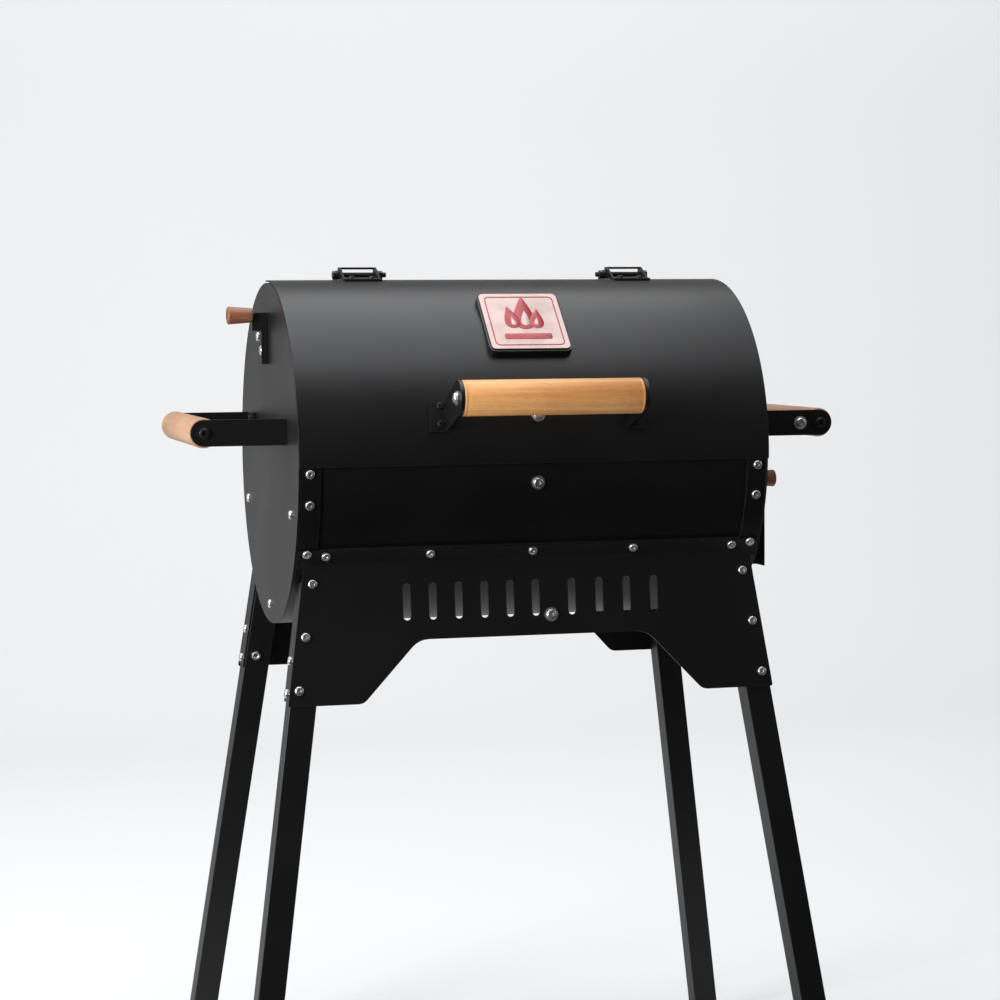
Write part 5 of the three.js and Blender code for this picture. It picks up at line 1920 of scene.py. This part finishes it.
@dataclass(frozen=True)
class Studio:
    """The pale floor, the backdrop, the softboxes and the camera."""

    half_width: float = 9.0
    near: float = -6.0
    far: float = 4.2
    height: float = 2.6
    cove: float = 1.6
    cove_segments: int = 24
    cove_smooth_deg: float = 60.0
    flag_half_width: float = 3.2
    flag_near: float = -5.0
    flag_far: float = -0.3
    flag_height: float = 4 * MM
    sky_colour: Colour = (0.97, 0.98, 1.0, 1)
    sky_seen: float = 0.94
    sky_lighting: float = 0.07
    camera_place: tuple[float, float, float] = (-0.770, -2.9699, 0.9316)
    lens: float = 92.32
    sensor: float = 36.0
    yaw_deg: float = 14.56
    pitch_deg: float = 3.96
    roll_deg: float = -0.43
    lights: tuple[SoftLight, ...] = (
        SoftLight("top_softbox", (-0.45, -0.1, 3.1), (-0.45, -0.1, 0), (3.0, 3.3), 94, (0.96, 0.975, 1.0)),
        SoftLight("left_front_softbox", (-2.8, -1.75, 1.15), (0, 0, 0.85), (1.0, 1.4), 108),
        SoftLight("left_softbox", (-2.8, 0.5, 1.5), (0, 0.1, 0.8), (1.4, 1.6), 16),
        SoftLight("right_softbox", (2.9, -1.2, 1.6), (0, 0, 0.8), (1.2, 1.8), 8),
        SoftLight("backdrop_light", (1.6, 1.9, 3.4), (1.4, 4.2, 0.7), (6.0, 1.2), 85),
    )

    @staticmethod
    def _lay(name: str, half_width: float, near: float, far: float, height: float = 0.0) -> Piece:
        """Lays a sheet on the floor.

        Args:
            name: The sheet's name.
            half_width: Half its width.
            near: Its near edge's Y.
            far: Its far edge's Y.
            height: Its height over the floor.

        Returns:
            The sheet.
        """
        sheet = Bench.rectangle(2 * half_width, far - near, (0, (near + far) / 2, height))
        sheet.name = name
        return sheet

    def build_cove(self, material: Material) -> None:
        """Folds the floor up into the backdrop.

        Args:
            material: The paper.
        """
        cove = self._lay("studio_cove", self.half_width, self.near, self.far)

        def at_fold(edge: bpy.types.MeshEdge) -> bool:
            """Whether an edge lies on the floor's far side."""
            ends = [cove.data.vertices[i].co for i in edge.vertices]
            return all(end.y > self.far - CLOSE and end.z < CLOSE for end in ends)

        with Bench.editing(cove, Pick.EDGE, at_fold):
            bpy.ops.mesh.extrude_region_move(TRANSFORM_OT_translate={"value": (0, 0, self.height)})
        with Bench.editing(cove, Pick.EDGE, at_fold):
            bpy.ops.mesh.bevel(offset=self.cove, segments=self.cove_segments, affect="EDGES")
        Bench.smooth(cove, self.cove_smooth_deg)
        Bench.dress(cove, material)

    def build_flag(self, material: Material) -> None:
        """Lays a black cloth before the smoker, out of the camera's sight, to keep its front dark.

        Args:
            material: The cloth.
        """
        flag = self._lay("black_flag", self.flag_half_width, self.flag_near, self.flag_far, self.flag_height)
        flag.visible_camera = flag.visible_shadow = flag.visible_diffuse = False
        Bench.dress(flag, material)

    def build_world(self) -> None:
        """Pale where the camera sees it, dim where it lights the smoker."""
        world = bpy.data.worlds.new("studio_world")
        world.use_nodes = True
        bpy.context.scene.world = world
        shader = Shader(world.node_tree)
        seen = shader.node("ShaderNodeLightPath").outputs["Is Camera Ray"]
        strength = shader.remap(seen, 0.0, 1.0, self.sky_lighting, self.sky_seen)
        shader.fill(world.node_tree.nodes["Background"], Strength=strength, Color=self.sky_colour)

    def build_camera(self) -> None:
        """Stands the camera before the smoker's left front."""
        data = bpy.data.cameras.new("camera")
        data.lens = self.lens
        data.sensor_width = self.sensor
        camera = bpy.data.objects.new("camera", data)
        yaw, pitch, roll = (math.radians(value) for value in (self.yaw_deg, self.pitch_deg, self.roll_deg))
        forward = Vector((math.sin(yaw) * math.cos(pitch), math.cos(yaw) * math.cos(pitch), -math.sin(pitch)))
        right = Vector((math.cos(yaw), -math.sin(yaw), 0))
        up = right.cross(forward)
        turned_right = right * math.cos(roll) + up * math.sin(roll)
        turned_up = up * math.cos(roll) - right * math.sin(roll)
        turn = Matrix((turned_right, turned_up, -forward)).transposed().to_4x4()
        camera.matrix_world = Matrix.Translation(self.camera_place) @ turn
        bpy.context.scene.collection.objects.link(camera)
        bpy.context.scene.camera = camera

    def build(self, finishes: Finishes) -> None:
        """Builds the whole studio.

        Args:
            finishes: The materials.
        """
        self.build_cove(finishes.paper)
        self.build_flag(finishes.flag)
        self.build_world()
        for light in self.lights:
            light.build()
        self.build_camera()
        bpy.context.scene.view_settings.view_transform = "Standard"


# ---------------------------------------------------------------- the whole


def main() -> None:
    """Builds every sub-assembly in order."""
    logging.basicConfig(level=logging.INFO, format="%(name)s: %(message)s")
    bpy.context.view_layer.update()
    drum = Drum.from_frame()
    finishes = Finishes(drum)
    SheetMetal().build(finishes)
    TurnedGrip("lid_handle_grip", Body.LID, "beech", Grain.X).build(finishes.beech)
    for side in Side:
        TurnedGrip(f"{side.word}_handle_grip", Body.FRAME, "pale_beech", Grain.Y).build(finishes.pale_beech)
        CookingGrate(side).build(finishes.grate)
    TurnedKnob("damper_knob", Body.DAMPER).build(finishes.knob_wood)
    TurnedKnob("drawer_knob", Body.DRAWER).build(finishes.knob_wood)
    Fasteners(drum, StandPlane(drum), finishes).build()
    Badge(drum).build(finishes)
    Studio().build(finishes)


if __name__ == "__main__":
    main()
